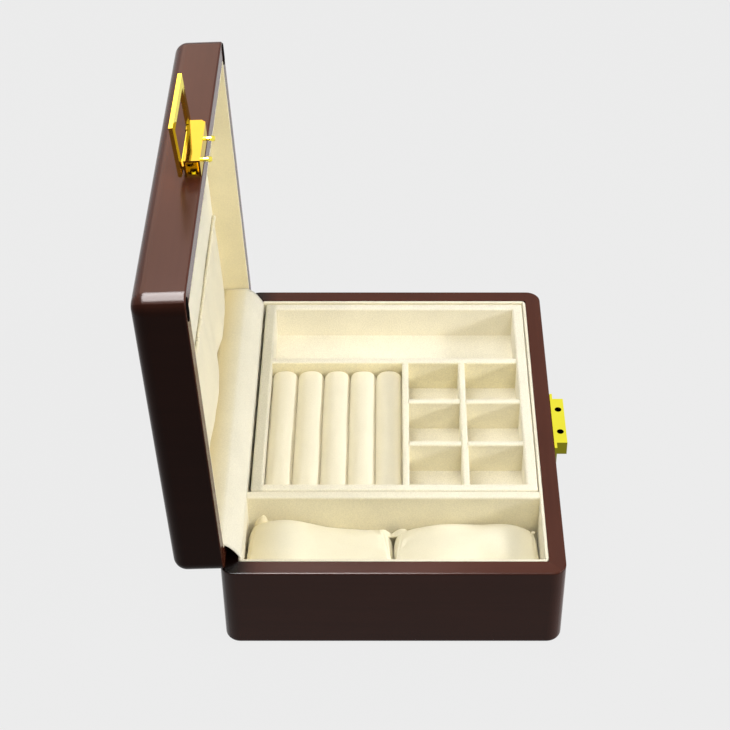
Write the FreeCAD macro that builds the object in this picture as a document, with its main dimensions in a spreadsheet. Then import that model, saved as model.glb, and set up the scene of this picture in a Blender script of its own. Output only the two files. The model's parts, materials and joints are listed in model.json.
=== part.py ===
"""Lidded jewellery box with a lift-out ring tray, two pillows and a box lock.

Frame: millimetres, origin at the centre of the underside, +Z up, front (lock side) towards -Y,
hinge side towards +Y. The box is drawn with its lid open, resting on its stop. Every lid piece is
modelled where it lies when the lid is closed and then turned about the hinge pins by its Placement.
"""
import FreeCAD, Part
import os
import Sketcher

doc = FreeCAD.newDocument("ring_box")
sheet = doc.addObject("Spreadsheet::Sheet", "Sizes")

# ---------------------------------------------------------------- driving dimensions (mm, degrees)
SIZES = {
    # wooden box
    "box_width": 262,
    "box_depth": 200,
    "base_height": 61,
    "lid_height": 29,
    "wall": 10,
    "corner_round": 9,
    "base_edge_round": 3,
    "lid_edge_round": 8,
    "rim_round": 1,
    "opening_round": 3,
    "felt": 1,
    "felt_inset": 9,
    "felt_round": 5,
    "bottom_board": 6,
    "top_board": 7,
    "rim_gap": 0.3,
    # linings, partition and ledges
    "lining": 2,
    "lining_round": 0.6,
    "bay_width": 50,
    "partition_wall": 6,
    "ledge_width": 5,
    "soft_round": 1.4,
    # lift-out tray
    "tray_clearance": 1,
    "tray_slide": 0.7,
    "tray_end_wall": 5.6,
    "tray_side_wall": 7,
    "tray_depth": 23.5,
    "tray_floor": 3,
    "tray_drop": 0.4,
    "divider_wall": 4.2,
    "long_divider_wall": 5,
    "divider_drop": 0.8,
    "long_bay": 50,
    "roll_bay": 85,
    "roll_diameter": 16.8,
    "roll_end_gap": 0.3,
    "cell_column": 32.5,
    # pillows
    "pillow_clearance": 1,
    "pillow_height": 47,
    "pillow_round": 12,
    # lid inside
    "lid_open_angle": 92.25,
    "lid_cavity": 18,
    "pocket_side_gap": 7,
    "pocket_height": 66,
    "pocket_bulge": 4,
    "elastic_diameter": 2.4,
    "buffer_length": 14,
    "buffer_width": 7,
    "buffer_recess": 1,
    "buffer_edge": 2.2,
    "gusset_cloth": 1.2,
    "gusset_side_gap": 2,
    # hinges
    "hinge_inset": 1.9,
    "hinge_rise": 1.3,
    "hinge_from_end": 56,
    "leaf_length": 32,
    "leaf_width": 6.6,
    "leaf": 1.1,
    "knuckle_diameter": 3.4,
    "knuckle_side": 10,
    "hinge_pin_diameter": 1.6,
    "hinge_pin_play": 0.08,
    "hinge_play": 0.4,
    "hinge_screw_spacing": 18,
    "hinge_screw_edge": 2.6,
    "hinge_screw_diameter": 1.8,
    "hinge_screw_head": 3.4,
    "hinge_screw_length": 7,
    # lock
    "lock_length": 41,
    "catch_height": 9.6,
    "catch_depth": 8.2,
    "catch_flange": 1.6,
    "catch_flange_overhang": 4.8,
    "catch_flange_height": 12.4,
    "catch_screw_head": 3,
    "catch_screw_diameter": 2,
    "catch_screw_length": 8,
    "pin_from_end": 10.2,
    "pin_standoff": 4.5,
    "pin_hole_diameter": 4.2,
    "pin_hole_depth": 7,
    "pin_head_diameter": 3.5,
    "pin_neck_diameter": 2.4,
    "pin_reach": 5.2,
    "pin_head_length": 2,
    "cover_depth": 10.5,
    "cover_height": 9.1,
    "cover_rise": 0.3,
    "cover_sheet": 1.1,
    "cover_chamfer": 2.2,
    "clasp_plate": 1,
    "clasp_screw_from_end": 4,
    "clasp_screw_head": 4,
    "clasp_screw_diameter": 2,
    "clasp_screw_length": 7,
    "flap_axis_standoff": 6,
    "flap_axis_gap": 0.3,
    "flap_open_angle": 93,
    "flap_length": 55.5,
    "flap_reach": 30.6,
    "flap_free_bar": 5.4,
    "flap_sheet": 2.2,
    "flap_barrel_diameter": 2.4,
    "flap_rod_diameter": 1.1,
    "flap_rod_play": 0.06,
    "flap_window_clearance": 0.7,
    "lug_length": 4,
}
for row, (alias, value) in enumerate(SIZES.items(), start=1):
    sheet.set(f"A{row}", alias)
    sheet.set(f"B{row}", str(value))
    sheet.setAlias(f"B{row}", alias)
doc.recompute()

ROLLS = 5
CELL_ROWS = 3
OVERCUT = 2  # how far a cutting shape runs past the wood that it cuts
FIRST = 9  # what a sketch is drawn at before its expressions size it
TOUCH = 0.01  # two heights or places that differ by less than this are the same
LEFT_FLAT = 0.05  # a full round leaves this much of the side flat
BEVEL_BLOCK = 3  # the block that cuts a stop bevel, in hinge insets


# ---------------------------------------------------------------- writing expressions
def mm(text):
    """Turn plain names of sizes into a bracketed expression that reads them from the sheet."""
    words = text.split()
    return "(" + " ".join("Sizes." + w if w in SIZES else w for w in words) + ")"


def less(a, b):
    return f"({a} - {b})"


def more(a, b):
    return f"({a} + {b})"


def minus(a):
    return f"(0 - {a})"


def middle(centre, length):
    """A span of this length about a centre."""
    return (f"({centre} - {length} / 2)", f"({centre} + {length} / 2)")


def worth(expression):
    """What an expression comes to now, for code that has to choose by it."""
    return float(sheet.evalExpression(expression))


# ---------------------------------------------------------------- places that pieces share
HALF_X = mm("box_width / 2")
HALF_Y = mm("box_depth / 2")
FRONT = minus(HALF_Y)
RIM = mm("base_height")
WOOD_FOOT = mm("felt")
FLOOR_BOARD_TOP = mm("felt + bottom_board")
FLOOR = mm("felt + bottom_board + lining")
WOOD_IN_X = mm("box_width / 2 - wall")
WOOD_IN_Y = mm("box_depth / 2 - wall")
LINED_X = mm("box_width / 2 - wall - lining")
LINED_Y = mm("box_depth / 2 - wall - lining")
PARTITION_LEFT = less(mm("bay_width"), LINED_X)
PARTITION_RIGHT = more(PARTITION_LEFT, mm("partition_wall"))

TRAY_LEFT = more(PARTITION_RIGHT, mm("tray_clearance"))
TRAY_RIGHT = less(LINED_X, mm("tray_clearance"))
TRAY_HALF = less(LINED_Y, mm("tray_clearance"))
TRAY_Y = (less(minus(TRAY_HALF), mm("tray_slide")), less(TRAY_HALF, mm("tray_slide")))
TRAY_TOP = less(RIM, mm("tray_drop"))
TRAY_FLOOR_TOP = less(RIM, mm("tray_depth"))
TRAY_FOOT = less(TRAY_FLOOR_TOP, mm("tray_floor"))
TRAY_IN_LEFT = more(TRAY_LEFT, mm("tray_end_wall"))
TRAY_IN_RIGHT = less(TRAY_RIGHT, mm("tray_end_wall"))
TRAY_IN_Y = (more(TRAY_Y[0], mm("tray_side_wall")), less(TRAY_Y[1], mm("tray_side_wall")))
DIVIDER_TOP = less(TRAY_TOP, mm("divider_drop"))
LONG_DIVIDER_RIGHT = less(TRAY_IN_RIGHT, mm("long_bay"))
LONG_DIVIDER_LEFT = less(LONG_DIVIDER_RIGHT, mm("long_divider_wall"))

LID_RIM = more(RIM, mm("rim_gap"))
LID_TOP = more(LID_RIM, mm("lid_height"))
TOP_BOARD_FOOT = less(LID_TOP, mm("top_board"))
PANEL_FACE = more(LID_RIM, mm("lid_cavity"))
HINGE_Y = less(HALF_Y, mm("hinge_inset"))
HINGE_Z = more(RIM, mm("hinge_rise"))
LEAF_EDGE = less(HINGE_Y, mm("leaf_width"))

FLAP_Y = less(FRONT, mm("flap_axis_standoff"))
COVER_FOOT = more(LID_RIM, mm("cover_rise"))
COVER_TOP = more(COVER_FOOT, mm("cover_height"))
FLAP_Z = more(COVER_TOP, mm("flap_axis_gap + flap_barrel_diameter / 2"))


def turned(y, z, angle):
    """A placement that turns a piece open about a line along X."""
    return f"placement(vector(0; 0; 0); rotation(vector(1; 0; 0); 0 - {angle}); vector(0; {y}; {z}))"


LID_OPEN = turned(HINGE_Y, HINGE_Z, mm("lid_open_angle"))
FLAP_OPEN = LID_OPEN + " * " + turned(FLAP_Y, FLAP_Z, mm("flap_open_angle"))

pieces = []


def piece(obj, placement=None):
    """Mark an object as a finished piece, named by its label, and place it."""
    if placement:
        obj.setExpression("Placement", placement)
    pieces.append(obj)
    return obj


# ---------------------------------------------------------------- shapes
def origin_plane(body, role):
    return next(f for f in body.Origin.OriginFeatures if f.Role == role)


def bind_constraint(sketch, constraint, name, expression):
    index = sketch.addConstraint(constraint)
    sketch.renameConstraint(index, name)
    sketch.setExpression("Constraints." + name, expression)


def rectangle_sketch(body, name, x, y, z):
    """A rectangle on a level plane, drawn from its corner at the smaller x and y."""
    sketch = body.newObject("Sketcher::SketchObject", name)
    sketch.AttachmentSupport = [(origin_plane(body, "XY_Plane"), "")]
    sketch.MapMode = "FlatFace"
    corners = [(0, 0), (FIRST, 0), (FIRST, FIRST), (0, FIRST)]
    points = [FreeCAD.Vector(a, b, 0) for a, b in corners]
    for i in range(4):
        sketch.addGeometry(Part.LineSegment(points[i], points[(i + 1) % 4]))
    for i in range(4):
        sketch.addConstraint(Sketcher.Constraint("Coincident", i, 2, (i + 1) % 4, 1))
    for kind, side in (("Horizontal", 0), ("Vertical", 1), ("Horizontal", 2), ("Vertical", 3)):
        sketch.addConstraint(Sketcher.Constraint(kind, side))
    sketch.addConstraint(Sketcher.Constraint("Coincident", -1, 1, 0, 1))
    along = Sketcher.Constraint("DistanceX", 0, 1, 0, 2, FIRST)
    across = Sketcher.Constraint("DistanceY", 1, 1, 1, 2, FIRST)
    bind_constraint(sketch, along, "along", less(x[1], x[0]))
    bind_constraint(sketch, across, "across", less(y[1], y[0]))
    sketch.setExpression("AttachmentOffset.Base.x", x[0])
    sketch.setExpression("AttachmentOffset.Base.y", y[0])
    sketch.setExpression("AttachmentOffset.Base.z", z)
    return sketch


def board(name, x, y, z):
    """A body made of one rectangle padded upwards: the plainest board."""
    body = doc.addObject("PartDesign::Body", name)
    pad = body.newObject("PartDesign::Pad", name + "_pad")
    pad.Profile = rectangle_sketch(body, name + "_outline", x, y, z[0])
    pad.setExpression("Length", less(z[1], z[0]))
    doc.recompute()
    return body


def pocket(body, name, x, y, z):
    """Cut a rectangular hole down through a body from z[1] to z[0]."""
    before = body.Tip.Shape.Volume
    cut = body.newObject("PartDesign::Pocket", name)
    cut.Profile = rectangle_sketch(body, name + "_outline", x, y, z[1])
    cut.setExpression("Length", less(z[1], z[0]))
    doc.recompute()
    if cut.Shape.Volume >= before:
        raise ValueError(name + " cuts nothing")
    return body


def edges_where(shape, test):
    """Names of the edges whose bounding box passes a test."""
    return [f"Edge{i}" for i, edge in enumerate(shape.Edges, start=1) if test(edge.BoundBox)]


def level_at(z):
    """A test for edges that lie level at this height."""
    return lambda box: abs(box.ZMin - z) < TOUCH and abs(box.ZMax - z) < TOUCH


def upright(box):
    return box.ZLength > TOUCH and box.XLength < TOUCH and box.YLength < TOUCH


def upright_inside(box):
    """A test for the upright edges at the corners of the opening that a ring of walls leaves."""
    at_x = abs(abs(box.XMin) - worth(WOOD_IN_X)) < TOUCH
    return upright(box) and at_x and abs(abs(box.YMin) - worth(WOOD_IN_Y)) < TOUCH


def rounded(body, name, test, radius):
    """Round the edges of the body that pass the test."""
    base = body.Tip
    fillet = body.newObject("PartDesign::Fillet", name)
    fillet.Base = (base, edges_where(base.Shape, test))
    fillet.setExpression("Radius", radius)
    doc.recompute()
    return body


def block(name, x, y, z):
    """A Part box, mostly used as a cutting shape."""
    box = doc.addObject("Part::Box", name)
    for axis, span, side in zip("xyz", (x, y, z), ("Length", "Width", "Height")):
        box.setExpression("Placement.Base." + axis, span[0])
        box.setExpression(side, less(span[1], span[0]))
    return box


ALONG_X = FreeCAD.Rotation(FreeCAD.Vector(0, 1, 0), 90)
TO_BACK = FreeCAD.Rotation(FreeCAD.Vector(1, 0, 0), -90)
UPWARDS = FreeCAD.Rotation()


def place_turned(obj, rotation, x, y, z):
    obj.Placement = FreeCAD.Placement(FreeCAD.Vector(), rotation)
    for axis, value in zip("xyz", (x, y, z)):
        obj.setExpression("Placement.Base." + axis, value)
    return obj


def cylinder(name, rotation, x, y, z, diameter, length):
    """A cylinder that starts at x, y, z and runs the way that the rotation turns +Z."""
    rod = doc.addObject("Part::Cylinder", name)
    rod.setExpression("Radius", f"{diameter} / 2")
    rod.setExpression("Height", length)
    return place_turned(rod, rotation, x, y, z)


def cone(name, rotation, x, y, z, first, last, length):
    """A cone that starts at x, y, z with one diameter and ends with another."""
    tip = doc.addObject("Part::Cone", name)
    tip.setExpression("Radius1", f"{first} / 2")
    tip.setExpression("Radius2", f"{last} / 2")
    tip.setExpression("Height", length)
    return place_turned(tip, rotation, x, y, z)


def fused(name, shapes):
    whole = doc.addObject("Part::MultiFuse", name)
    whole.Shapes = shapes
    return whole


def grouped(name, shapes):
    group = doc.addObject("Part::Compound", name)
    group.Links = shapes
    return group


def cut(name, base, tools):
    """The base with every tool taken out of it."""
    result = doc.addObject("Part::Cut", name)
    result.Base = base
    result.Tool = tools[0] if len(tools) == 1 else fused(name + "_tools", tools)
    return result


def centred(half):
    return (minus(half), half)


# ---------------------------------------------------------------- wooden walls
def wall_frame(name, z, edge_z, edge_round, rim_z):
    """Four walls in one ring, with rounded corners, one heavily rounded edge and a crisp rim."""
    body = board(name, centred(HALF_X), centred(HALF_Y), z)
    rounded(body, name + "_corners", upright, mm("corner_round"))
    rounded(body, name + "_edge", level_at(worth(edge_z)), edge_round)
    rounded(body, name + "_rim", level_at(worth(rim_z)), mm("rim_round"))
    pocket(body, name + "_inside", centred(WOOD_IN_X), centred(WOOD_IN_Y), z)
    return rounded(body, name + "_opening", upright_inside, mm("opening_round"))


def opening_board(name, z):
    """A board that fills the opening between the walls, with its corners rounded to match."""
    body = board(name, centred(WOOD_IN_X), centred(WOOD_IN_Y), z)
    return rounded(body, name + "_corners", upright, mm("opening_round"))


def mitre(name, ring, side, z):
    """One wall of a ring, cut off at both ends along 45 degree mitres."""
    wedge = doc.addObject("Part::Wedge", name + "_wedge")
    turns = {"front": 0, "right": 90, "back": 180, "left": 270}
    lengthwise = side in ("front", "back")
    half_length, depth = (HALF_X, HALF_Y) if lengthwise else (HALF_Y, HALF_X)
    inner = less(half_length, mm("wall"))
    wedge.setExpression("Ymin", minus(depth))
    wedge.setExpression("Ymax", less(mm("wall"), depth))
    for first, second, value in (("Xmin", "X2min", -1), ("Xmax", "X2max", 1)):
        wedge.setExpression(first, f"{value} * {half_length}")
        wedge.setExpression(second, f"{value} * {inner}")
    for end, value in (("Zmin", z[0]), ("Z2min", z[0]), ("Zmax", z[1]), ("Z2max", z[1])):
        wedge.setExpression(end, value)
    wedge.Placement = FreeCAD.Placement(
        FreeCAD.Vector(), FreeCAD.Rotation(FreeCAD.Vector(0, 0, 1), turns[side])
    )
    wall = doc.addObject("Part::Common", name)
    wall.Base = ring
    wall.Tool = wedge
    return wall


def slanted_block(name, y, z, angle, lift):
    """A long block with its foot along a line parallel to X, tipped about that line."""
    box = doc.addObject("Part::Box", name)
    length = mm(f"box_width + {2 * OVERCUT}")
    box.setExpression("Length", length)
    box.setExpression("Width", mm(f"hinge_inset * {BEVEL_BLOCK}"))
    box.setExpression("Height", mm(f"hinge_inset * {BEVEL_BLOCK}"))
    tipped = f"placement(vector(0 - {length} / 2; {y}; {z}); rotation(vector(1; 0; 0); {angle}))"
    raised = f"placement(vector(0; 0; {lift}); rotation(0; 0; 0))"
    box.setExpression("Placement", tipped + " * " + raised)
    return box


# ---------------------------------------------------------------- hinge parts
def hinge_centres():
    half = mm("box_width / 2 - hinge_from_end")
    return {"left": minus(half), "right": half}


def leaf_z(side):
    """A leaf lies a little below the pin line on the base, or above it on the lid."""
    near = mm("hinge_rise - leaf")
    far = mm("hinge_rise")
    if side == "base":
        return less(HINGE_Z, far), less(HINGE_Z, near)
    return more(HINGE_Z, near), more(HINGE_Z, far)


def knuckle_spans(centre, side):
    """The outer two knuckles belong to the base leaf and the middle one to the lid leaf."""
    half = mm("leaf_length / 2")
    side_length = mm("knuckle_side")
    if side == "base":
        left = less(centre, half), more(less(centre, half), side_length)
        right = less(more(centre, half), side_length), more(centre, half)
        return [left, right]
    inner = less(less(half, side_length), mm("hinge_play / 2"))
    return [(less(centre, inner), more(centre, inner))]


def hinge_screw_places(centre):
    spacing = mm("hinge_screw_spacing")
    return [less(centre, f"{spacing} / 2"), more(centre, f"{spacing} / 2")]


HINGE_SCREW_Y = more(LEAF_EDGE, mm("hinge_screw_edge"))


def hinge_screw(name, x, side):
    """A countersunk screw whose head is flush with the leaf: shank plus head, pointing into the wood."""
    z = leaf_z(side)
    down = side == "base"
    face = z[1] if down else z[0]
    rotation = FreeCAD.Rotation(FreeCAD.Vector(1, 0, 0), 180) if down else UPWARDS
    diameter = mm("hinge_screw_diameter")
    length = mm("hinge_screw_length")
    shank = cylinder(name + "_shank", rotation, x, HINGE_SCREW_Y, face, diameter, length)
    wide = mm("hinge_screw_head")
    sink = cone(name + "_head", rotation, x, HINGE_SCREW_Y, face, wide, diameter, mm("leaf"))
    return fused(name, [shank, sink])


def hinge_leaf(name, centre, side):
    """A leaf: plate, links to its own knuckles, knuckles, pin bore and screw holes."""
    z = leaf_z(side)
    clear = less(HINGE_Y, mm("knuckle_diameter / 2 + hinge_play"))
    plate = block(name + "_plate", middle(centre, mm("leaf_length")), (LEAF_EDGE, clear), z)
    solids = [plate]
    for i, span in enumerate(knuckle_spans(centre, side)):
        width = less(span[1], span[0])
        link = block(f"{name}_link_{i}", span, (less(clear, mm("leaf")), HINGE_Y), z)
        barrel = cylinder(
            f"{name}_barrel_{i}", ALONG_X, span[0], HINGE_Y, HINGE_Z, mm("knuckle_diameter"), width
        )
        solids += [link, barrel]
    start = less(centre, mm(f"leaf_length / 2 + {OVERCUT}"))
    bore = cylinder(
        name + "_bore", ALONG_X, start, HINGE_Y, HINGE_Z,
        mm("hinge_pin_diameter + 2 * hinge_pin_play"), mm(f"leaf_length + {2 * OVERCUT}"),
    )
    holes = [hinge_screw(f"{name}_hole_{i}", x, side) for i, x in enumerate(hinge_screw_places(centre))]
    return cut(name, fused(name + "_whole", solids), [bore] + holes)


def hinge_recess(name, centre, side):
    """The room that a hinge needs in the wood of one rim: a groove for the barrel and a mortice."""
    width = mm("leaf_length + 2 * hinge_play")
    start = less(centre, f"{width} / 2")
    groove = cylinder(
        name + "_groove", ALONG_X, start, HINGE_Y, HINGE_Z, mm("knuckle_diameter + 2 * hinge_play"), width
    )
    tools = [groove]
    if side == "lid":
        y = (less(LEAF_EDGE, mm("hinge_play")), HINGE_Y)
        z = (less(RIM, str(OVERCUT)), leaf_z("lid")[1])
        tools.append(block(name + "_mortice", middle(centre, width), y, z))
    for i, x in enumerate(hinge_screw_places(centre)):
        tools.append(hinge_screw(f"{name}_pilot_{i}", x, side))
    return tools


# ---------------------------------------------------------------- base
BASE_Z = (WOOD_FOOT, RIM)
BEVEL_ANGLE = mm("lid_open_angle / 2")


def catch_screw(name, x):
    """A countersunk screw through the catch's flange into the front board."""
    face = less(FRONT, mm("catch_flange"))
    z = less(RIM, mm("catch_flange_height / 2"))
    shank = cylinder(
        name + "_shank", TO_BACK, x, face, z, mm("catch_screw_diameter"), mm("catch_screw_length")
    )
    head = cone(
        name + "_head", TO_BACK, x, face, z, mm("catch_screw_head"), mm("catch_screw_diameter"),
        mm("catch_flange / 2"),
    )
    return fused(name, [shank, head])


CATCH_SCREW_X = mm("lock_length / 2 + catch_flange_overhang / 2")
CATCH_SCREW_PLACES = (minus(CATCH_SCREW_X), CATCH_SCREW_X)
PIN_X = mm("lock_length / 2 - pin_from_end")
PIN_PLACES = (minus(PIN_X), PIN_X)


def make_base_walls():
    ring = wall_frame("base_ring", BASE_Z, WOOD_FOOT, mm("base_edge_round"), RIM)
    front = mitre("base_front_blank", ring, "front", BASE_Z)
    pilots = [catch_screw(f"catch_pilot_{i}", x) for i, x in enumerate(CATCH_SCREW_PLACES)]
    piece(cut("base_front_board", front, pilots))
    piece(mitre("base_left_board", ring, "left", BASE_Z))
    piece(mitre("base_right_board", ring, "right", BASE_Z))
    back = mitre("base_back_blank", ring, "back", BASE_Z)
    tools = [slanted_block("base_stop_bevel", HINGE_Y, RIM, minus(BEVEL_ANGLE), "0")]
    for side, centre in hinge_centres().items():
        tools += hinge_recess(f"base_{side}_hinge", centre, "base")
    piece(cut("base_back_board", back, tools))


def make_base_inside():
    bottom_z = (WOOD_FOOT, FLOOR_BOARD_TOP)
    piece(opening_board("base_bottom_board", bottom_z))
    felt_x = centred(less(HALF_X, mm("felt_inset")))
    felt_y = centred(less(HALF_Y, mm("felt_inset")))
    felt = board("base_felt", felt_x, felt_y, ("0", WOOD_FOOT))
    piece(rounded(felt, "base_felt_corners", upright, mm("felt_round")))
    piece(board("base_floor_lining", centred(LINED_X), centred(LINED_Y), (FLOOR_BOARD_TOP, FLOOR)))
    lining_z = (FLOOR_BOARD_TOP, RIM)
    lining = opening_board("base_wall_lining", lining_z)
    pocket(lining, "base_lining_inside", centred(LINED_X), centred(LINED_Y), lining_z)
    piece(rounded(lining, "base_lining_lip", level_at(worth(RIM)), mm("lining_round")))
    partition_x = (PARTITION_LEFT, PARTITION_RIGHT)
    partition = board("bay_partition", partition_x, centred(LINED_Y), (FLOOR, RIM))
    piece(rounded(partition, "bay_partition_top", long_top_edges(partition, "Y"), mm("soft_round")))
    ledge_x = (PARTITION_RIGHT, LINED_X)
    inner = less(LINED_Y, mm("ledge_width"))
    piece(board("tray_ledge_front", ledge_x, (minus(LINED_Y), minus(inner)), (FLOOR, TRAY_FOOT)))
    piece(board("tray_ledge_back", ledge_x, (inner, LINED_Y), (FLOOR, TRAY_FOOT)))


def long_top_edges(body, axis):
    """A test for a board's level top edges that run along X or along Y."""
    top = body.Tip.Shape.BoundBox.ZMax

    def test(box):
        length = box.XLength if axis == "X" else box.YLength
        return level_at(top)(box) and length > TOUCH

    return test


def make_catch():
    x = centred(mm("lock_length / 2"))
    outer = (less(FRONT, mm("catch_depth")), FRONT)
    body = block("catch_body", x, outer, (less(RIM, mm("catch_height")), RIM))
    flange_x = centred(mm("lock_length / 2 + catch_flange_overhang"))
    flange_y = (less(FRONT, mm("catch_flange")), FRONT)
    flange = block("catch_flange_plate", flange_x, flange_y, (less(RIM, mm("catch_flange_height")), RIM))
    tools = []
    for i, place in enumerate(PIN_PLACES):
        z = less(RIM, mm("pin_hole_depth"))
        y = less(FRONT, mm("pin_standoff"))
        length = mm(f"pin_hole_depth + {OVERCUT}")
        tools.append(cylinder(f"catch_hole_{i}", UPWARDS, place, y, z, mm("pin_hole_diameter"), length))
    tools += [catch_screw(f"catch_screw_hole_{i}", x) for i, x in enumerate(CATCH_SCREW_PLACES)]
    piece(cut("catch_block", fused("catch_whole", [body, flange]), tools))
    screws = [catch_screw(f"catch_screw_{i}", x) for i, x in enumerate(CATCH_SCREW_PLACES)]
    piece(grouped("catch_screws", screws))


# ---------------------------------------------------------------- lid
LID_Z = (LID_RIM, LID_TOP)
BUFFER_X = mm("box_width / 2 - buffer_edge - buffer_width / 2")
BUFFER_Y = mm("buffer_edge + buffer_length / 2 - box_depth / 2")


def buffer_pad(name, x, z):
    """An oval pad set into the rim near a free corner."""
    body = board(name, middle(x, mm("buffer_width")), middle(BUFFER_Y, mm("buffer_length")), z)
    return rounded(body, name + "_oval", upright, mm(f"buffer_width / 2 - {LEFT_FLAT}"))


def clasp_screw(name, x):
    """A pan-headed screw through the clasp plate into the lid's front board."""
    face = less(FRONT, mm("clasp_plate"))
    z = less(COVER_TOP, mm("cover_height / 2"))
    shank = cylinder(
        name + "_shank", TO_BACK, x, face, z, mm("clasp_screw_diameter"), mm("clasp_screw_length")
    )
    head_face = less(face, mm("clasp_plate"))
    head = cylinder(name + "_head", TO_BACK, x, head_face, z, mm("clasp_screw_head"), mm("clasp_plate"))
    return fused(name, [shank, head])


CLASP_SCREW_X = mm("lock_length / 2 - clasp_screw_from_end")
CLASP_SCREW_PLACES = (minus(CLASP_SCREW_X), CLASP_SCREW_X)


def make_lid_walls():
    ring = wall_frame("lid_ring", LID_Z, LID_TOP, mm("lid_edge_round"), LID_RIM)
    front = mitre("lid_front_blank", ring, "front", LID_Z)
    rim_recess = (less(LID_RIM, str(OVERCUT)), more(LID_RIM, mm("buffer_recess")))
    pockets = {
        side: buffer_pad(f"lid_buffer_{side}_recess", x, rim_recess)
        for side, x in (("left", minus(BUFFER_X)), ("right", BUFFER_X))
    }
    pilots = [clasp_screw(f"clasp_pilot_{i}", x) for i, x in enumerate(CLASP_SCREW_PLACES)]
    piece(cut("lid_front_board", front, pilots + list(pockets.values())), LID_OPEN)
    for side in ("left", "right"):
        blank = mitre(f"lid_{side}_blank", ring, side, LID_Z)
        piece(cut(f"lid_{side}_board", blank, [pockets[side]]), LID_OPEN)
    back = mitre("lid_back_blank", ring, "back", LID_Z)
    lift = mm(f"0 - hinge_inset * {BEVEL_BLOCK}")
    tools = [slanted_block("lid_stop_bevel", HINGE_Y, LID_RIM, BEVEL_ANGLE, lift)]
    for side, centre in hinge_centres().items():
        tools += hinge_recess(f"lid_{side}_hinge", centre, "lid")
    piece(cut("lid_back_board", back, tools), LID_OPEN)


def make_lid_top():
    """The top board drops between the walls, flush with their top."""
    piece(opening_board("lid_top_board", (TOP_BOARD_FOOT, LID_TOP)), LID_OPEN)


def make_lid_inside():
    lining_z = (LID_RIM, TOP_BOARD_FOOT)
    lining = opening_board("lid_wall_lining", lining_z)
    pocket(lining, "lid_lining_inside", centred(LINED_X), centred(LINED_Y), lining_z)
    piece(rounded(lining, "lid_lining_lip", level_at(worth(LID_RIM)), mm("lining_round")), LID_OPEN)
    panel = board("lid_panel", centred(LINED_X), centred(LINED_Y), (PANEL_FACE, TOP_BOARD_FOOT))
    piece(rounded(panel, "lid_panel_edge", level_at(worth(PANEL_FACE)), mm("soft_round")), LID_OPEN)
    foot = less(LINED_Y, mm("rim_gap"))
    mouth = less(foot, mm("pocket_height"))
    bulge_face = less(PANEL_FACE, mm("pocket_bulge"))
    pocket_half = less(LINED_X, mm("pocket_side_gap"))
    pouch = board("lid_pocket", centred(pocket_half), (mouth, foot), (bulge_face, PANEL_FACE))
    piece(rounded(pouch, "lid_pocket_edge", level_at(worth(bulge_face)), mm("soft_round")), LID_OPEN)
    radius = mm("elastic_diameter / 2")
    elastic = cylinder(
        "pocket_elastic_cord", ALONG_X, minus(pocket_half), less(mouth, radius),
        less(PANEL_FACE, radius), mm("elastic_diameter"), f"(2 * {pocket_half})",
    )
    piece(grouped("pocket_elastic", [elastic]), LID_OPEN)
    for side, x in (("left", minus(BUFFER_X)), ("right", BUFFER_X)):
        pad = buffer_pad(f"lid_buffer_{side}", x, (RIM, more(LID_RIM, mm("buffer_recess"))))
        piece(pad, LID_OPEN)


# ---------------------------------------------------------------- hinges and gusset
def make_hinges():
    base_screws = []
    lid_screws = []
    for side, centre in hinge_centres().items():
        piece(hinge_leaf(f"hinge_{side}_base_leaf", centre, "base"))
        piece(hinge_leaf(f"hinge_{side}_lid_leaf", centre, "lid"), LID_OPEN)
        start = less(centre, mm("leaf_length / 2"))
        pin = cylinder(
            f"hinge_{side}_pin_rod", ALONG_X, start, HINGE_Y, HINGE_Z,
            mm("hinge_pin_diameter"), mm("leaf_length"),
        )
        piece(grouped(f"hinge_{side}_pin", [pin]))
        for i, x in enumerate(hinge_screw_places(centre)):
            base_screws.append(hinge_screw(f"hinge_{side}_base_screw_{i}", x, "base"))
            lid_screws.append(hinge_screw(f"hinge_{side}_lid_screw_{i}", x, "lid"))
    piece(grouped("hinge_base_screws", base_screws))
    piece(grouped("hinge_lid_screws", lid_screws), LID_OPEN)


def open_lid_point(y, z):
    """Where a point of the closed lid's cross-section lies when the lid is open, as expressions."""
    angle = mm("lid_open_angle")
    dy, dz = less(y, HINGE_Y), less(z, HINGE_Z)
    open_y = f"({HINGE_Y} + {dy} * cos({angle}) + {dz} * sin({angle}))"
    open_z = f"({HINGE_Z} - {dy} * sin({angle}) + {dz} * cos({angle}))"
    return open_y, open_z


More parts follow.
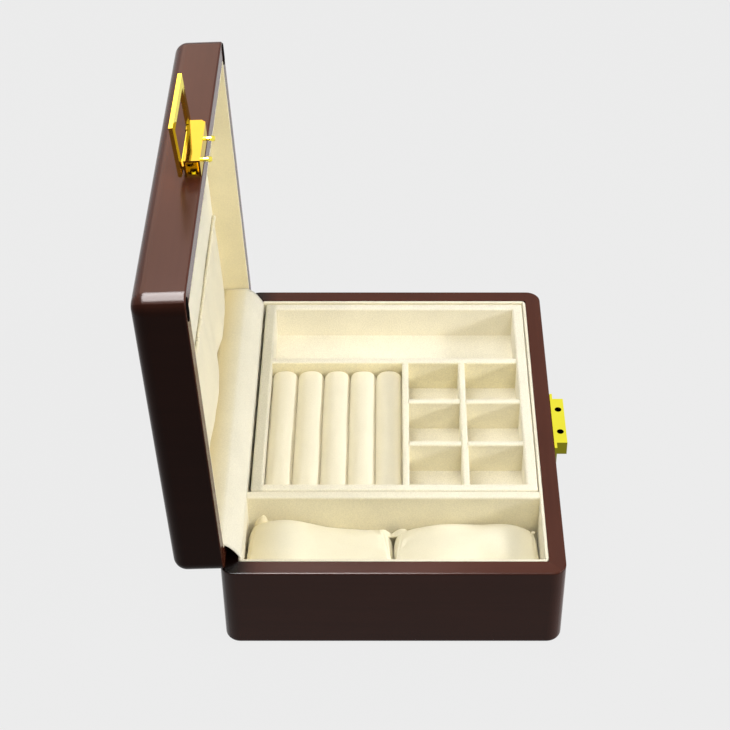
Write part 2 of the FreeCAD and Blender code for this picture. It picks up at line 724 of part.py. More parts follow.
def make_gusset():
    """A thin cloth ramp from the top of the base lining to the rim of the lid lining."""
    body = doc.addObject("PartDesign::Body", "hinge_gusset")
    sketch = body.newObject("Sketcher::SketchObject", "hinge_gusset_section")
    sketch.AttachmentSupport = [(origin_plane(body, "YZ_Plane"), "")]
    sketch.MapMode = "FlatFace"
    cloth = mm("gusset_cloth")
    inner_y, inner_z = open_lid_point(LINED_Y, LID_RIM)
    outer_y, outer_z = open_lid_point(more(LINED_Y, cloth), LID_RIM)
    gap = mm("rim_gap")
    section = [
        (LINED_Y, RIM),
        (more(LINED_Y, cloth), RIM),
        (less(outer_y, gap), outer_z),
        (less(inner_y, gap), inner_z),
    ]
    points = [FreeCAD.Vector(worth(y), worth(z), 0) for y, z in section]
    for i in range(4):
        sketch.addGeometry(Part.LineSegment(points[i], points[(i + 1) % 4]))
    for i in range(4):
        sketch.addConstraint(Sketcher.Constraint("Coincident", i, 2, (i + 1) % 4, 1))
    for i, (y, z) in enumerate(section):
        along = Sketcher.Constraint("DistanceX", -1, 1, i, 1, points[i].x)
        height = Sketcher.Constraint("DistanceY", -1, 1, i, 1, points[i].y)
        bind_constraint(sketch, along, f"y{i}", y)
        bind_constraint(sketch, height, f"z{i}", z)
    pad = body.newObject("PartDesign::Pad", "hinge_gusset_pad")
    pad.Profile = sketch
    length = less(f"2 * {LINED_X}", f"2 * {mm('gusset_side_gap')}")
    sketch.setExpression("AttachmentOffset.Base.z", f"0 - {length} / 2")
    pad.setExpression("Length", length)
    piece(body)


# ---------------------------------------------------------------- clasp
def lug_spans():
    """The two lugs end flush with the ends of the cover."""
    outer = mm("lock_length / 2")
    inner = less(outer, mm("lug_length"))
    return [(minus(outer), minus(inner)), (inner, outer)]


def make_clasp_plate():
    x = centred(mm("lock_length / 2 - cover_sheet"))
    z = (more(COVER_FOOT, mm("cover_sheet")), less(COVER_TOP, mm("cover_sheet")))
    plate = block("clasp_plate_sheet", x, (less(FRONT, mm("clasp_plate")), FRONT), z)
    holes = [clasp_screw(f"clasp_hole_{i}", x) for i, x in enumerate(CLASP_SCREW_PLACES)]
    piece(cut("clasp_base_plate", plate, holes), LID_OPEN)
    screws = [clasp_screw(f"clasp_screw_{i}", x) for i, x in enumerate(CLASP_SCREW_PLACES)]
    piece(grouped("clasp_screws", screws), LID_OPEN)


def clasp_pin(name, x):
    """A headed pin: a neck through the cover's wall and a bullet head that enters the catch."""
    y = less(FRONT, mm("pin_standoff"))
    tip = less(LID_RIM, mm("pin_reach"))
    head_top = more(tip, mm("pin_head_length"))
    inside = more(COVER_FOOT, mm("2 * cover_sheet"))
    long = less(inside, head_top)
    neck = cylinder(name + "_neck", UPWARDS, x, y, head_top, mm("pin_neck_diameter"), long)
    head = cone(
        name + "_head", UPWARDS, x, y, tip, mm("pin_neck_diameter"), mm("pin_head_diameter"),
        mm("pin_head_length"),
    )
    return fused(name, [neck, head])


def make_clasp_cover():
    """An inverted channel over the plate, with two lugs for the hinge rod."""
    x = centred(mm("lock_length / 2"))
    y = (less(FRONT, mm("cover_depth")), FRONT)
    outer = board("clasp_cover_shell", x, y, (COVER_FOOT, COVER_TOP))
    base = outer.Tip
    chamfer = outer.newObject("PartDesign::Chamfer", "clasp_cover_corner")
    right = worth(x[1])
    foot = worth(COVER_FOOT)

    def right_front(box):
        return level_at(foot)(box) and abs(box.XMin - right) < TOUCH and box.YLength > TOUCH

    chamfer.Base = (base, edges_where(base.Shape, right_front))
    chamfer.setExpression("Size", mm("cover_chamfer"))
    inner_y = (less(FRONT, mm("cover_depth - cover_sheet")), more(FRONT, str(OVERCUT)))
    inner_z = (more(COVER_FOOT, mm("cover_sheet")), less(COVER_TOP, mm("cover_sheet")))
    inner_x = centred(mm(f"lock_length / 2 + {OVERCUT}"))
    hollow = block("clasp_cover_hollow", inner_x, inner_y, inner_z)
    solids = [cut("clasp_cover_channel", outer, [hollow])]
    half_sheet = mm("flap_barrel_diameter / 2")
    for i, span in enumerate(lug_spans()):
        arm_y = (less(FLAP_Y, half_sheet), more(FLAP_Y, half_sheet))
        solids.append(block(f"clasp_lug_arm_{i}", span, arm_y, (COVER_TOP, FLAP_Z)))
        solids.append(cylinder(
            f"clasp_lug_barrel_{i}", ALONG_X, span[0], FLAP_Y, FLAP_Z,
            mm("flap_barrel_diameter"), less(span[1], span[0]),
        ))
    pins = [clasp_pin(f"clasp_pin_hole_{i}", place) for i, place in enumerate(PIN_PLACES)]
    tools = pins + [flap_rod("clasp_lug_bore", "0")]
    piece(cut("clasp_cover", fused("clasp_cover_whole", solids), tools), LID_OPEN)


def flap_rod(name, play):
    """The rod that the flap swings on, or its bore when given some play."""
    diameter = more(mm("flap_rod_diameter"), f"2 * {play}")
    start = minus(mm("flap_length / 2"))
    return cylinder(name, ALONG_X, start, FLAP_Y, FLAP_Z, diameter, mm("flap_length"))


def make_clasp():
    make_clasp_plate()
    make_clasp_cover()
    pins = [clasp_pin(f"clasp_pin_{i}", place) for i, place in enumerate(PIN_PLACES)]
    piece(grouped("clasp_pins", pins), LID_OPEN)
    piece(grouped("clasp_hinge_rod", [flap_rod("clasp_hinge_rod_wire", "0")]), LID_OPEN)


def make_flap():
    """A flat frame with one side open: its two arms swing on the rod's ends, and its window passes
    over the cover and the catch block when the box is shut."""
    x = centred(mm("flap_length / 2"))
    half = mm("flap_sheet / 2")
    y = (less(FLAP_Y, half), more(FLAP_Y, half))
    free_edge = less(FLAP_Z, mm("flap_reach"))
    sheet_body = board("clasp_flap_sheet", x, y, (free_edge, FLAP_Z))
    barrel = cylinder(
        "clasp_flap_barrel", ALONG_X, x[0], FLAP_Y, FLAP_Z, mm("flap_barrel_diameter"), mm("flap_length")
    )
    window_x = centred(mm("lock_length / 2 + flap_window_clearance"))
    deep = (less(y[0], str(OVERCUT)), more(y[1], str(OVERCUT)))
    window_z = (more(free_edge, mm("flap_free_bar")), more(FLAP_Z, mm("flap_barrel_diameter")))
    window = block("clasp_flap_window", window_x, deep, window_z)
    bore = flap_rod("clasp_flap_bore", mm("flap_rod_play"))
    whole = fused("clasp_flap_whole", [sheet_body, barrel])
    piece(cut("clasp_flap", whole, [window, bore]), FLAP_OPEN)


# ---------------------------------------------------------------- tray
def soft_board(name, x, y, z, axis):
    """A cloth-covered board whose long top edges are rounded."""
    body = board(name, x, y, z)
    return piece(rounded(body, name + "_top", long_top_edges(body, axis), mm("soft_round")))


def make_tray_shell():
    z = (TRAY_FOOT, TRAY_TOP)
    frame = board("tray_frame", (TRAY_LEFT, TRAY_RIGHT), TRAY_Y, z)
    rounded(frame, "tray_frame_corners", upright, mm("soft_round"))
    pocket(frame, "tray_frame_inside", (TRAY_IN_LEFT, TRAY_IN_RIGHT), TRAY_IN_Y, z)
    piece(rounded(frame, "tray_frame_top", level_at(worth(TRAY_TOP)), mm("soft_round")))
    floor_x = (TRAY_IN_LEFT, TRAY_IN_RIGHT)
    piece(board("tray_floor", floor_x, TRAY_IN_Y, (TRAY_FOOT, TRAY_FLOOR_TOP)))


ROLL_DIVIDER_BACK = less(TRAY_IN_Y[1], mm("roll_bay"))
ROLL_DIVIDER_FRONT = less(ROLL_DIVIDER_BACK, mm("divider_wall"))
COLUMN_DIVIDER_BACK = less(ROLL_DIVIDER_FRONT, mm("cell_column"))
COLUMN_DIVIDER_FRONT = less(COLUMN_DIVIDER_BACK, mm("divider_wall"))


def make_tray_dividers():
    z = (TRAY_FLOOR_TOP, DIVIDER_TOP)
    soft_board("tray_long_divider", (LONG_DIVIDER_LEFT, LONG_DIVIDER_RIGHT), TRAY_IN_Y, z, "Y")
    run = (TRAY_IN_LEFT, LONG_DIVIDER_LEFT)
    soft_board("tray_roll_divider", run, (ROLL_DIVIDER_FRONT, ROLL_DIVIDER_BACK), z, "X")
    soft_board("tray_column_divider", run, (COLUMN_DIVIDER_FRONT, COLUMN_DIVIDER_BACK), z, "X")
    wall = mm("divider_wall")
    cell = f"(({less(run[1], run[0])} - {CELL_ROWS - 1} * {wall}) / {CELL_ROWS})"
    columns = {
        "inner": (COLUMN_DIVIDER_BACK, ROLL_DIVIDER_FRONT),
        "outer": (TRAY_IN_Y[0], COLUMN_DIVIDER_FRONT),
    }
    for column, y in columns.items():
        for row in range(1, CELL_ROWS):
            left = f"({run[0]} + {row} * {cell} + {row - 1} * {wall})"
            soft_board(f"tray_{column}_cross_divider_{row}", (left, more(left, wall)), y, z, "Y")


def make_ring_rolls():
    """Padded rolls side by side on the tray floor, running along X."""
    gap = mm("roll_end_gap")
    start = more(TRAY_IN_LEFT, gap)
    length = less(less(LONG_DIVIDER_LEFT, gap), start)
    pitch = f"({mm('roll_bay')} / {ROLLS})"
    height = more(TRAY_FLOOR_TOP, mm("roll_diameter / 2"))
    for i in range(ROLLS):
        y = f"({TRAY_IN_Y[1]} - {pitch} * {i + 0.5})"
        roll = cylinder(f"ring_roll_{i + 1}_pad", ALONG_X, start, y, height, mm("roll_diameter"), length)
        piece(grouped(f"ring_roll_{i + 1}", [roll]))


# ---------------------------------------------------------------- pillows
def make_pillows():
    gap = mm("pillow_clearance")
    x = (less(gap, LINED_X), less(PARTITION_LEFT, gap))
    far = less(LINED_Y, gap)
    near = mm("pillow_clearance / 2")
    z = (FLOOR, more(FLOOR, mm("pillow_height")))
    for name, y in (("pillow_back", (near, far)), ("pillow_front", (minus(far), minus(near)))):
        body = board(name, x, y, z)
        piece(rounded(body, name + "_soft", lambda box: True, mm("pillow_round")))


# ---------------------------------------------------------------- build, check and write
def rename_labels():
    """Each piece's label is its node name."""
    for obj in pieces:
        obj.Label = obj.Name


def check():
    for obj in doc.Objects:
        if "Invalid" in obj.State or "Error" in obj.State:
            raise ValueError(f"{obj.Name} failed: {obj.State}")
    for obj in pieces:
        if obj.Shape.isNull() or not obj.Shape.isValid() or not obj.Shape.Solids:
            raise ValueError(f"{obj.Name} has no valid solid")


make_base_walls()
make_base_inside()
make_catch()
make_lid_walls()
make_lid_top()
make_lid_inside()
make_hinges()
make_gusset()
make_clasp()
make_flap()
make_tray_shell()
make_tray_dividers()
make_ring_rolls()
make_pillows()
rename_labels()
doc.recompute()
check()

os.makedirs("parts", exist_ok=True)
for obj in pieces:
    obj.Shape.exportStep(f"parts/{obj.Label}.step")
    box = obj.Shape.BoundBox
    size = f"{box.XLength:.1f} x {box.YLength:.1f} x {box.ZLength:.1f}"
    print(f"{obj.Label:28s} {len(obj.Shape.Solids)} solid(s), {size} mm")
print(len(pieces), "pieces")
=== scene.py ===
# %% [markdown]
# # A lacquered jewellery box with a lift-out ring tray
#
# The box was designed first as solid pieces: boards, hinges, a box lock, a tray and its dividers.
# This lesson dresses those pieces. It gives the hard ones their finish and makes the soft ones,
# the pillows, ring rolls, padded lid panel, gathered pocket and cloth hinge cover, as real cloth
# forms. Lengths are metres, +Z is up, the lock faces -Y and the hinges are at +Y.

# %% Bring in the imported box
import json
import math

import bpy
import numpy as np
from mathutils import Matrix, Vector, noise


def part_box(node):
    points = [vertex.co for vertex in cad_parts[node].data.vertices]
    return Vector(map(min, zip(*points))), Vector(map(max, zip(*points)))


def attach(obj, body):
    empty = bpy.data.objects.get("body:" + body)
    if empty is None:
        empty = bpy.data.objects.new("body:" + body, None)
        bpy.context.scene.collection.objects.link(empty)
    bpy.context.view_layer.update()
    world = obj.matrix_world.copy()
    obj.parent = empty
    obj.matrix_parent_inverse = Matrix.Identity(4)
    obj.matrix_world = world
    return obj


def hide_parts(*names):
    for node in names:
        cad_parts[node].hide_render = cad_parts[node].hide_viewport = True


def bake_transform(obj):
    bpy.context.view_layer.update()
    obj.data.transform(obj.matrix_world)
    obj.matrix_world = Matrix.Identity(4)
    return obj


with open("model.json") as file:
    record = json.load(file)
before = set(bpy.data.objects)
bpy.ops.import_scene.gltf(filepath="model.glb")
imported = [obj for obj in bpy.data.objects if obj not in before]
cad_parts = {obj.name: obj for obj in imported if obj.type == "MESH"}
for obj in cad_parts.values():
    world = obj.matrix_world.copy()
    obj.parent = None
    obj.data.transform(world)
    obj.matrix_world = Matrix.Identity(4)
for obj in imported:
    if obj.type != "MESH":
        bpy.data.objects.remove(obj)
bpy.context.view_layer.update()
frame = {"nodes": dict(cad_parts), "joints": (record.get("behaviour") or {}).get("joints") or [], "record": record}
MM = 0.001

# %% [markdown]
# ## The camera
# The box is seen from its left side and from above, with a long lens, so that its straight edges
# stay nearly parallel. The view is shifted a little sideways instead of turned, because a turn
# would tilt the box's upright edges.

# %% Set up the camera
FRAME_WIDTH = 730
FOCAL_PIXELS = 1771.557
CENTRE_PIXEL = 391.493
LOOK_DOWN = math.radians(40.53)
CAMERA_PLACE = (-0.825626, 0.001139, 0.812837)
SENSOR_WIDTH = 36
NEAREST = 0.05
FARTHEST = 50

camera_data = bpy.data.cameras.new("camera")
camera = bpy.data.objects.new("camera", camera_data)
bpy.context.scene.collection.objects.link(camera)
camera.location = CAMERA_PLACE
camera.rotation_euler = (math.pi / 2 - LOOK_DOWN, 0, -math.pi / 2)
camera_data.sensor_width = SENSOR_WIDTH
camera_data.lens = SENSOR_WIDTH * FOCAL_PIXELS / FRAME_WIDTH
camera_data.shift_x = (FRAME_WIDTH / 2 - CENTRE_PIXEL) / FRAME_WIDTH
camera_data.clip_start = NEAREST
camera_data.clip_end = FARTHEST
bpy.context.scene.camera = camera
bpy.context.scene.view_settings.view_transform = "Standard"
print(f"lens {camera_data.lens:.1f} mm, {math.degrees(LOOK_DOWN):.1f} degrees down")

# %% [markdown]
# ## Writing materials
# Every finish here is a small network of nodes that ends in one Principled shader. One helper
# starts a finish and another adds a node and joins it, which keeps the networks short. A value that
# is the same all over a surface is typed straight into the shader.

# %% Start a finish and add nodes to it
def finish_material(name, **plain):
    """A material with a Principled shader, whose plain sockets are set by name."""
    material = bpy.data.materials.new(name)
    material.use_nodes = True
    shader = material.node_tree.nodes["Principled BSDF"]
    for socket, value in plain.items():
        shader.inputs[socket.replace("_", " ")].default_value = value
    return material, material.node_tree, shader


def add_node(tree, kind, links=(), **settings):
    """A node with its settings, joined to (socket, source output) pairs."""
    made = tree.nodes.new("ShaderNode" + kind)
    for name, value in settings.items():
        if hasattr(made, name):
            setattr(made, name, value)
        else:
            made.inputs[name.replace("_", " ")].default_value = value
    for socket, source in links:
        tree.links.new(source, made.inputs[socket])
    return made


print("ready to start finishes")

# %% Measure, grade and shade with nodes
# most of a noise lies in this range
NOISE_RANGE = (0.3, 0.7)


def place_on(tree, stretch=(1, 1, 1)):
    """Coordinates fixed to the piece, in metres, stretched along its axes."""
    where = add_node(tree, "TexCoord").outputs["Object"]
    return add_node(tree, "Mapping", [("Vector", where)], Scale=stretch).outputs["Vector"]


def speckle(tree, where, scale, detail=2.0, roughness=0.5):
    """Noise between 0 and 1; the scale is in lumps per metre."""
    made = add_node(tree, "TexNoise", [("Vector", where)], Scale=scale, Detail=detail, Roughness=roughness)
    return made.outputs["Fac"]


def graded(tree, value, stops):
    """A colour ramp: stops are (place, colour) pairs."""
    ramp = add_node(tree, "ValToRGB", [("Fac", value)])
    band = ramp.color_ramp
    stops = list(stops)
    while len(band.elements) < len(stops):
        band.elements.new(0.5)
    for element, (place, colour) in zip(band.elements, stops):
        element.position = place
        element.color = (*colour, 1)
    return ramp.outputs["Color"]


def spread(tree, value, low, high, from_low=0.0, from_high=1.0):
    """The value moved from one range to another."""
    made = add_node(tree, "MapRange", [("Value", value)])
    numbers = {"From Min": from_low, "From Max": from_high, "To Min": low, "To Max": high}
    for name, number in numbers.items():
        made.inputs[name].default_value = number
    return made.outputs["Result"]


def darkened(tree, colour, factor):
    """A colour multiplied by a grey factor."""
    mix = add_node(tree, "Mix", data_type="RGBA", blend_type="MULTIPLY")
    mix.inputs["Factor"].default_value = 1.0
    tree.links.new(colour, mix.inputs[6])
    tree.links.new(factor, mix.inputs[7])
    return mix.outputs[2]


def bumped(tree, shader, height, depth):
    """Relief of this depth in metres on the shader's normal."""
    bump = add_node(tree, "Bump", [("Height", height)], Distance=depth, Strength=1.0)
    tree.links.new(bump.outputs["Normal"], shader.inputs["Normal"])


print("material helpers ready")

# %% [markdown]
# ## Lacquered wood
# The real box is stained dark red brown and then sprayed with a thick gloss lacquer, so the wood
# shows only as faint reddish streaks under a mirror-like skin. A clear coat could do the gloss,
# but one glossy layer with a weaker reflection comes closer to how dark the real sides look.
# The streaks follow each board's length, so there is one material for each direction of grain.
# Sides that face along X carry painted shade, and the base's rim beside the hinges carries painted
# shade and a painted dark reflection of the lid that stands over it.

# %% Make the lacquer
STAIN_DARK = (0.062, 0.0165, 0.0085)
STAIN_RED = (0.088, 0.0245, 0.0130)
STREAK_LENGTH = 5
STREAKS_ACROSS = 110
STAIN_RANGE = (0.10, 0.50)
CLOUD_SCALE = 14.0
LACQUER_ROUGHNESS = (0.16, 0.24)
SKIN_SCALE = 220.0
SKIN_RELIEF = 0.00002
# painted shade on faces that look along X; the lid's two end boards take a deeper one
END_SHADE = 0.50
LID_END_SHADE = 0.22
# where along Y the rim's painted shade begins and is full
HINGE_SHADE = (0.079, 0.091)
# how far up a face has to look to count as the rim
FACING_UP = (0.3, 0.8)
# painted shade and a painted dark reflection on the base's rim beside the hinges
RIM_SHADE = 0.06
LID_ENDS = ("lid_left_board", "lid_right_board")


def lacquer(name, along, end_shade=END_SHADE, rim_shade=1.0, gloss=0.12):
    """Gloss lacquer over wood whose grain runs along axis 0, 1 or 2.

    The end shade is painted shade on what faces along X, and the rim shade on what faces up beside the hinges.
    """
    material, tree, shader = finish_material(name, Specular_IOR_Level=gloss, IOR=1.5)
    stretch = [STREAKS_ACROSS] * 3
    stretch[along] = STREAK_LENGTH
    streaks = speckle(tree, place_on(tree, stretch), 1.0, detail=4.0, roughness=0.6)
    cloudy = speckle(tree, place_on(tree), CLOUD_SCALE)
    both = add_node(tree, "Math", [(0, streaks), (1, cloudy)], operation="MULTIPLY").outputs[0]
    colour = graded(tree, both, zip(STAIN_RANGE, (STAIN_DARK, STAIN_RED)))
    places = add_node(tree, "TexCoord").outputs
    facing = add_node(tree, "SeparateXYZ", [(0, places["Normal"])]).outputs
    endness = add_node(tree, "Math", [(0, facing["X"])], operation="ABSOLUTE").outputs[0]
    colour = darkened(tree, colour, spread(tree, endness, 1.0, end_shade))
    back = add_node(tree, "SeparateXYZ", [(0, places["Object"])]).outputs["Y"]
    beside = spread(tree, back, 0.0, 1.0, *HINGE_SHADE)
    upward = spread(tree, facing["Z"], 0.0, 1.0, *FACING_UP)
    rim = add_node(tree, "Math", [(0, beside), (1, upward)], operation="MULTIPLY").outputs[0]
    colour = darkened(tree, colour, spread(tree, rim, 1.0, rim_shade))
    tree.links.new(colour, shader.inputs["Base Color"])
    tree.links.new(spread(tree, cloudy, *LACQUER_ROUGHNESS), shader.inputs["Roughness"])
    bumped(tree, shader, speckle(tree, place_on(tree), SKIN_SCALE), SKIN_RELIEF)
    return material


lacquers = {axis: lacquer(f"lacquer_along_{axis}", i) for i, axis in enumerate("xyz")}
# the base's boards carry the painted shade on the rim beside the hinges
base_lacquers = {
    axis: lacquer(f"lacquer_base_{axis}", i, rim_shade=RIM_SHADE) for i, axis in enumerate("xyz")
}
lid_end_lacquer = lacquer("lacquer_lid_ends", 1, end_shade=LID_END_SHADE, gloss=0.05)
print("lacquers:", sorted(lacquers))

# %% [markdown]
# ## Suede cloth
# The lining is a cream microfibre suede: matt, with a fine nap that catches the light and soft
# cloudy patches where the nap has been smoothed over. Sheen gives the light edge that nap has, and
# two sizes of noise give its grain and its patches. A second, yellower colour is painted shade: on
# walls that face along X, and at the ends of some pieces that stand in the lid's shade.

# %% Shade napped cloth
CLOTH_ROUGHNESS = 0.92
SHEEN = 0.25
SHEEN_ROUGHNESS = 0.45
PATCH_SCALE = 38.0


def suede(name, colour, grain=1300.0, patch=0.04, fleck=0.06, nap=0.00014,
          shaded_colour=None, by="Normal", way="X", between=(0.55, 0.98)):
    """Napped cloth: patch and fleck are how much the nap shades it.

    The shaded colour is painted shade, which takes over between two values of the way it faces, or of where it
    lies.
    """
    material, tree, shader = finish_material(
        name, Roughness=CLOTH_ROUGHNESS, Sheen_Weight=SHEEN, Sheen_Roughness=SHEEN_ROUGHNESS,
        Specular_IOR_Level=0.0
    )
    where = place_on(tree)
    lumps = speckle(tree, where, PATCH_SCALE, detail=3.0)
    patches = spread(tree, lumps, 1 - patch, 1 + patch, *NOISE_RANGE)
    grains = speckle(tree, where, grain, detail=3.0, roughness=0.65)
    flecks = spread(tree, grains, 1 - fleck, 1 + fleck, *NOISE_RANGE)
    shade = add_node(tree, "Math", [(0, patches), (1, flecks)], operation="MULTIPLY").outputs[0]
    places = add_node(tree, "TexCoord").outputs[by]
    measure = add_node(tree, "SeparateXYZ", [(0, places)]).outputs[way]
    if by == "Normal":
        measure = add_node(tree, "Math", [(0, measure)], operation="ABSOLUTE").outputs[0]
    share = spread(tree, measure, 0.0, 1.0, *between)
    dye_and_shade = graded(tree, share, [(0.0, colour), (1.0, shaded_colour or colour)])
    tree.links.new(darkened(tree, dye_and_shade, shade), shader.inputs["Base Color"])
    bumped(tree, shader, grains, nap)
    return material


print("cloth is", CLOTH_ROUGHNESS, "rough")

# %% Make the cloths
# the lining: a faint painted shade on walls that face along X
lining_suede = suede("lining_suede", (0.86, 0.81, 0.645), fleck=0.08, shaded_colour=(0.86, 0.80, 0.60))
# the hinge cover: painted shade where it lies deep in the lid
cover_suede = suede("cover_suede", (0.86, 0.82, 0.68), shaded_colour=(0.78, 0.68, 0.42),
                    by="Object", way="Y", between=(0.099, 0.110))
# the lid's wall lining: painted shade on walls that face along X
lid_suede = suede("lid_suede", (0.82, 0.76, 0.56), shaded_colour=(0.80, 0.72, 0.48))
panel_suede = suede("panel_suede", (0.92, 0.88, 0.72), patch=0.03, fleck=0.04)
pocket_suede = suede("pocket_suede", (0.88, 0.82, 0.63), patch=0.03, fleck=0.04)
# the tray: painted shade on walls that face along X
tray_suede = suede("tray_suede", (0.87, 0.82, 0.665), fleck=0.10, shaded_colour=(0.845, 0.775, 0.535))
# the tray frame: painted shade on its hinge side, under the lid
frame_suede = suede("frame_suede", (0.87, 0.82, 0.665), fleck=0.10, shaded_colour=(0.70, 0.66, 0.52),
                    by="Object", way="Y", between=(0.0783, 0.0808))
# the pillows: painted shade at the back pillow's end beside the lid
pillow_cloth = suede("pillow_cloth", (0.85, 0.80, 0.62), patch=0.02, fleck=0.03, nap=0.00008,
                     shaded_colour=(0.80, 0.71, 0.46), by="Object", way="Y", between=(0.066, 0.086))
roll_cloth = suede("roll_cloth", (0.88, 0.82, 0.64), patch=0.02, fleck=0.03, nap=0.00008)
felt_cloth = suede("felt", (0.05, 0.03, 0.027), grain=600.0, patch=0.2, fleck=0.3, nap=0.0003)
print("cloths made, from", lining_suede.name, "to", felt_cloth.name)

# %% [markdown]
# ## Metals and rubber
# The lock is polished and gold plated. The two holes of the catch and its two ends are darkened
# with painted shade. The hinges and their screws are plain satin metals that show only from behind
# or when the lid moves. The little stops on the rim are black rubber.

# %% Paint shade into the holes and onto the ends of the catch
PIN_HOLE_AXIS = (10.3 * MM, 104.5 * MM, 0)
PIN_HOLE_RADIUS = 2.1 * MM
# where the painted shade of a hole ends, in radii of the hole
PIN_HOLE_EDGE = (1.02, 1.05)
HOLE_SHADE = 0.25
CATCH_END_SHADE = 0.22
# how far along X a face has to look to count as an end
FACING_ALONG = (0.90, 0.95)


def catch_shade(tree):
    """Painted shade: dark within the two holes for the pins and on the two ends, and 1 elsewhere."""
    seen = add_node(tree, "TexCoord")
    turned = add_node(tree, "VectorMath", [(0, seen.outputs["Normal"])], operation="ABSOLUTE")
    sideways = add_node(tree, "SeparateXYZ", [("Vector", turned.outputs[0])]).outputs["X"]
    ends = spread(tree, sideways, 1.0, CATCH_END_SHADE, *FACING_ALONG)
    half = add_node(tree, "VectorMath", [(0, seen.outputs["Object"])], operation="ABSOLUTE")
    away = add_node(tree, "VectorMath", [(0, half.outputs[0])], operation="SUBTRACT")
    away.inputs[1].default_value = PIN_HOLE_AXIS
    level = add_node(tree, "VectorMath", [(0, away.outputs[0])], operation="MULTIPLY")
    level.inputs[1].default_value = (1, 1, 0)
    radius = add_node(tree, "VectorMath", [(0, level.outputs[0])], operation="LENGTH")
    edge = [share * PIN_HOLE_RADIUS for share in PIN_HOLE_EDGE]
    holes = spread(tree, radius.outputs["Value"], HOLE_SHADE, 1.0, *edge)
    return add_node(tree, "Math", [(0, ends), (1, holes)], operation="MULTIPLY").outputs[0]


print("holes at", [round(place / MM, 1) for place in PIN_HOLE_AXIS[:2]], "mm from the middle")

# %% Make the metals
SCRATCH_STRETCH = (1, 6, 1)
SCRATCH_SCALE = 400.0
SCRATCH_RELIEF = 0.000001
TARNISH_SCALE = 90.0
TARNISH = (0.93, 1.04)


def metal(name, colour, low, high, edge=(1, 1, 1), shade=None):
    """A metal whose roughness varies between low and high in fine scratches.

    The edge colour tints it where it is seen along its face. The shade is painted shade on parts of it.
    """
    material, tree, shader = finish_material(name, Metallic=1.0, Specular_Tint=(*edge, 1))
    where = place_on(tree, SCRATCH_STRETCH)
    marks = speckle(tree, where, SCRATCH_SCALE, detail=5.0, roughness=0.6)
    tone = spread(tree, speckle(tree, place_on(tree), TARNISH_SCALE), *TARNISH)
    plain = add_node(tree, "RGB")
    plain.outputs[0].default_value = (*colour, 1)
    tint = darkened(tree, plain.outputs[0], tone)
    if shade:
        tint = darkened(tree, tint, shade(tree))
    tree.links.new(tint, shader.inputs["Base Color"])
    tree.links.new(spread(tree, marks, low, high, *NOISE_RANGE), shader.inputs["Roughness"])
    bumped(tree, shader, marks, SCRATCH_RELIEF)
    return material


POLISH = (0.04, 0.08)
SATIN = (0.25, 0.45)
GOLD_EDGE = (1.0, 0.95, 0.50)
gold = metal("gold", (1.0, 0.86, 0.12), *POLISH, edge=GOLD_EDGE)
# the catch has painted shade in its holes and on its ends
catch_gold = metal("catch_gold", (1.0, 0.92, 0.06), *POLISH, edge=GOLD_EDGE, shade=catch_shade)
cover_gold = metal("cover_gold", (0.50, 0.35, 0.06), *POLISH, edge=(1.0, 0.88, 0.35))
dark_gold = metal("dark_gold", (0.16, 0.10, 0.03), 0.10, 0.30)
brass = metal("hinge_brass", (0.78, 0.58, 0.25), *SATIN)
steel = metal("screw_steel", (0.62, 0.60, 0.55), *SATIN)
print("metals made")

# %% Make the rubber
RUBBER_SCALE = 1500.0
RUBBER_DARK = (0.004, 0.004, 0.004)
RUBBER_PALE = (0.012, 0.011, 0.011)
RUBBER_ROUGHNESS = (0.85, 0.95)
RUBBER_RELIEF = 0.00005


def make_rubber():
    """Dull black with a fine pebbled grain."""
    material, tree, shader = finish_material("rubber", Specular_IOR_Level=0.0)
    grain = speckle(tree, place_on(tree), RUBBER_SCALE)
    colour = graded(tree, grain, zip(NOISE_RANGE, (RUBBER_DARK, RUBBER_PALE)))
    tree.links.new(colour, shader.inputs["Base Color"])
    tree.links.new(spread(tree, grain, *RUBBER_ROUGHNESS), shader.inputs["Roughness"])
    bumped(tree, shader, grain, RUBBER_RELIEF)
    return material


rubber = make_rubber()
print("rubber made")

# %% [markdown]
# ## Dressing the solid pieces
# Each solid piece keeps its shape and only takes a material. The record of the box says which
# finish belongs to each piece, so the names there choose the material here.

# %% Give each solid piece its finish
SLOT_FINISH = {
    "felt": felt_cloth,
    "suede": lining_suede,
    "panel_cloth": panel_suede,
    "pillow_cloth": pillow_cloth,
    "roll_cloth": roll_cloth,
    "elastic": panel_suede,
    "buffer_rubber": rubber,
    "gold": gold,
    "hinge_brass": brass,
    "screw_steel": steel,
}
# pieces that differ from the rest of their slot
OWN_FINISH = {
    "tray_frame": frame_suede,
    "tray_floor": tray_suede,
    "tray_long_divider": tray_suede,
    "lid_wall_lining": lid_suede,
    "clasp_cover": cover_gold,
    "catch_block": catch_gold,
    "catch_screws": dark_gold,
}
OWN_FINISH.update((name, lid_end_lacquer) for name in LID_ENDS)
slot_of = {row["node"]: row["material_slot"] for row in frame["record"]["subparts"]}


def grain_axis(name):
    """The longest side of a board, which is the way that its grain runs."""
    low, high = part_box(name)
    size = high - low
    return "xyz"[max(range(3), key=lambda i: size[i])]


def finish_of(name):
    """The piece's own finish, or else lacquer along its grain, or else what its slot says."""
    if name in OWN_FINISH:
        return OWN_FINISH[name]
    if slot_of[name] == "lacquered_wood":
        woods = base_lacquers if name.startswith("base_") else lacquers
        return woods[grain_axis(name)]
    return SLOT_FINISH[slot_of[name]]


for name, obj in frame["nodes"].items():
    obj.data.materials.clear()
    obj.data.materials.append(finish_of(name))
print(len(frame["nodes"]), "solid pieces dressed,", len(OWN_FINISH), "of them in a finish of their own")

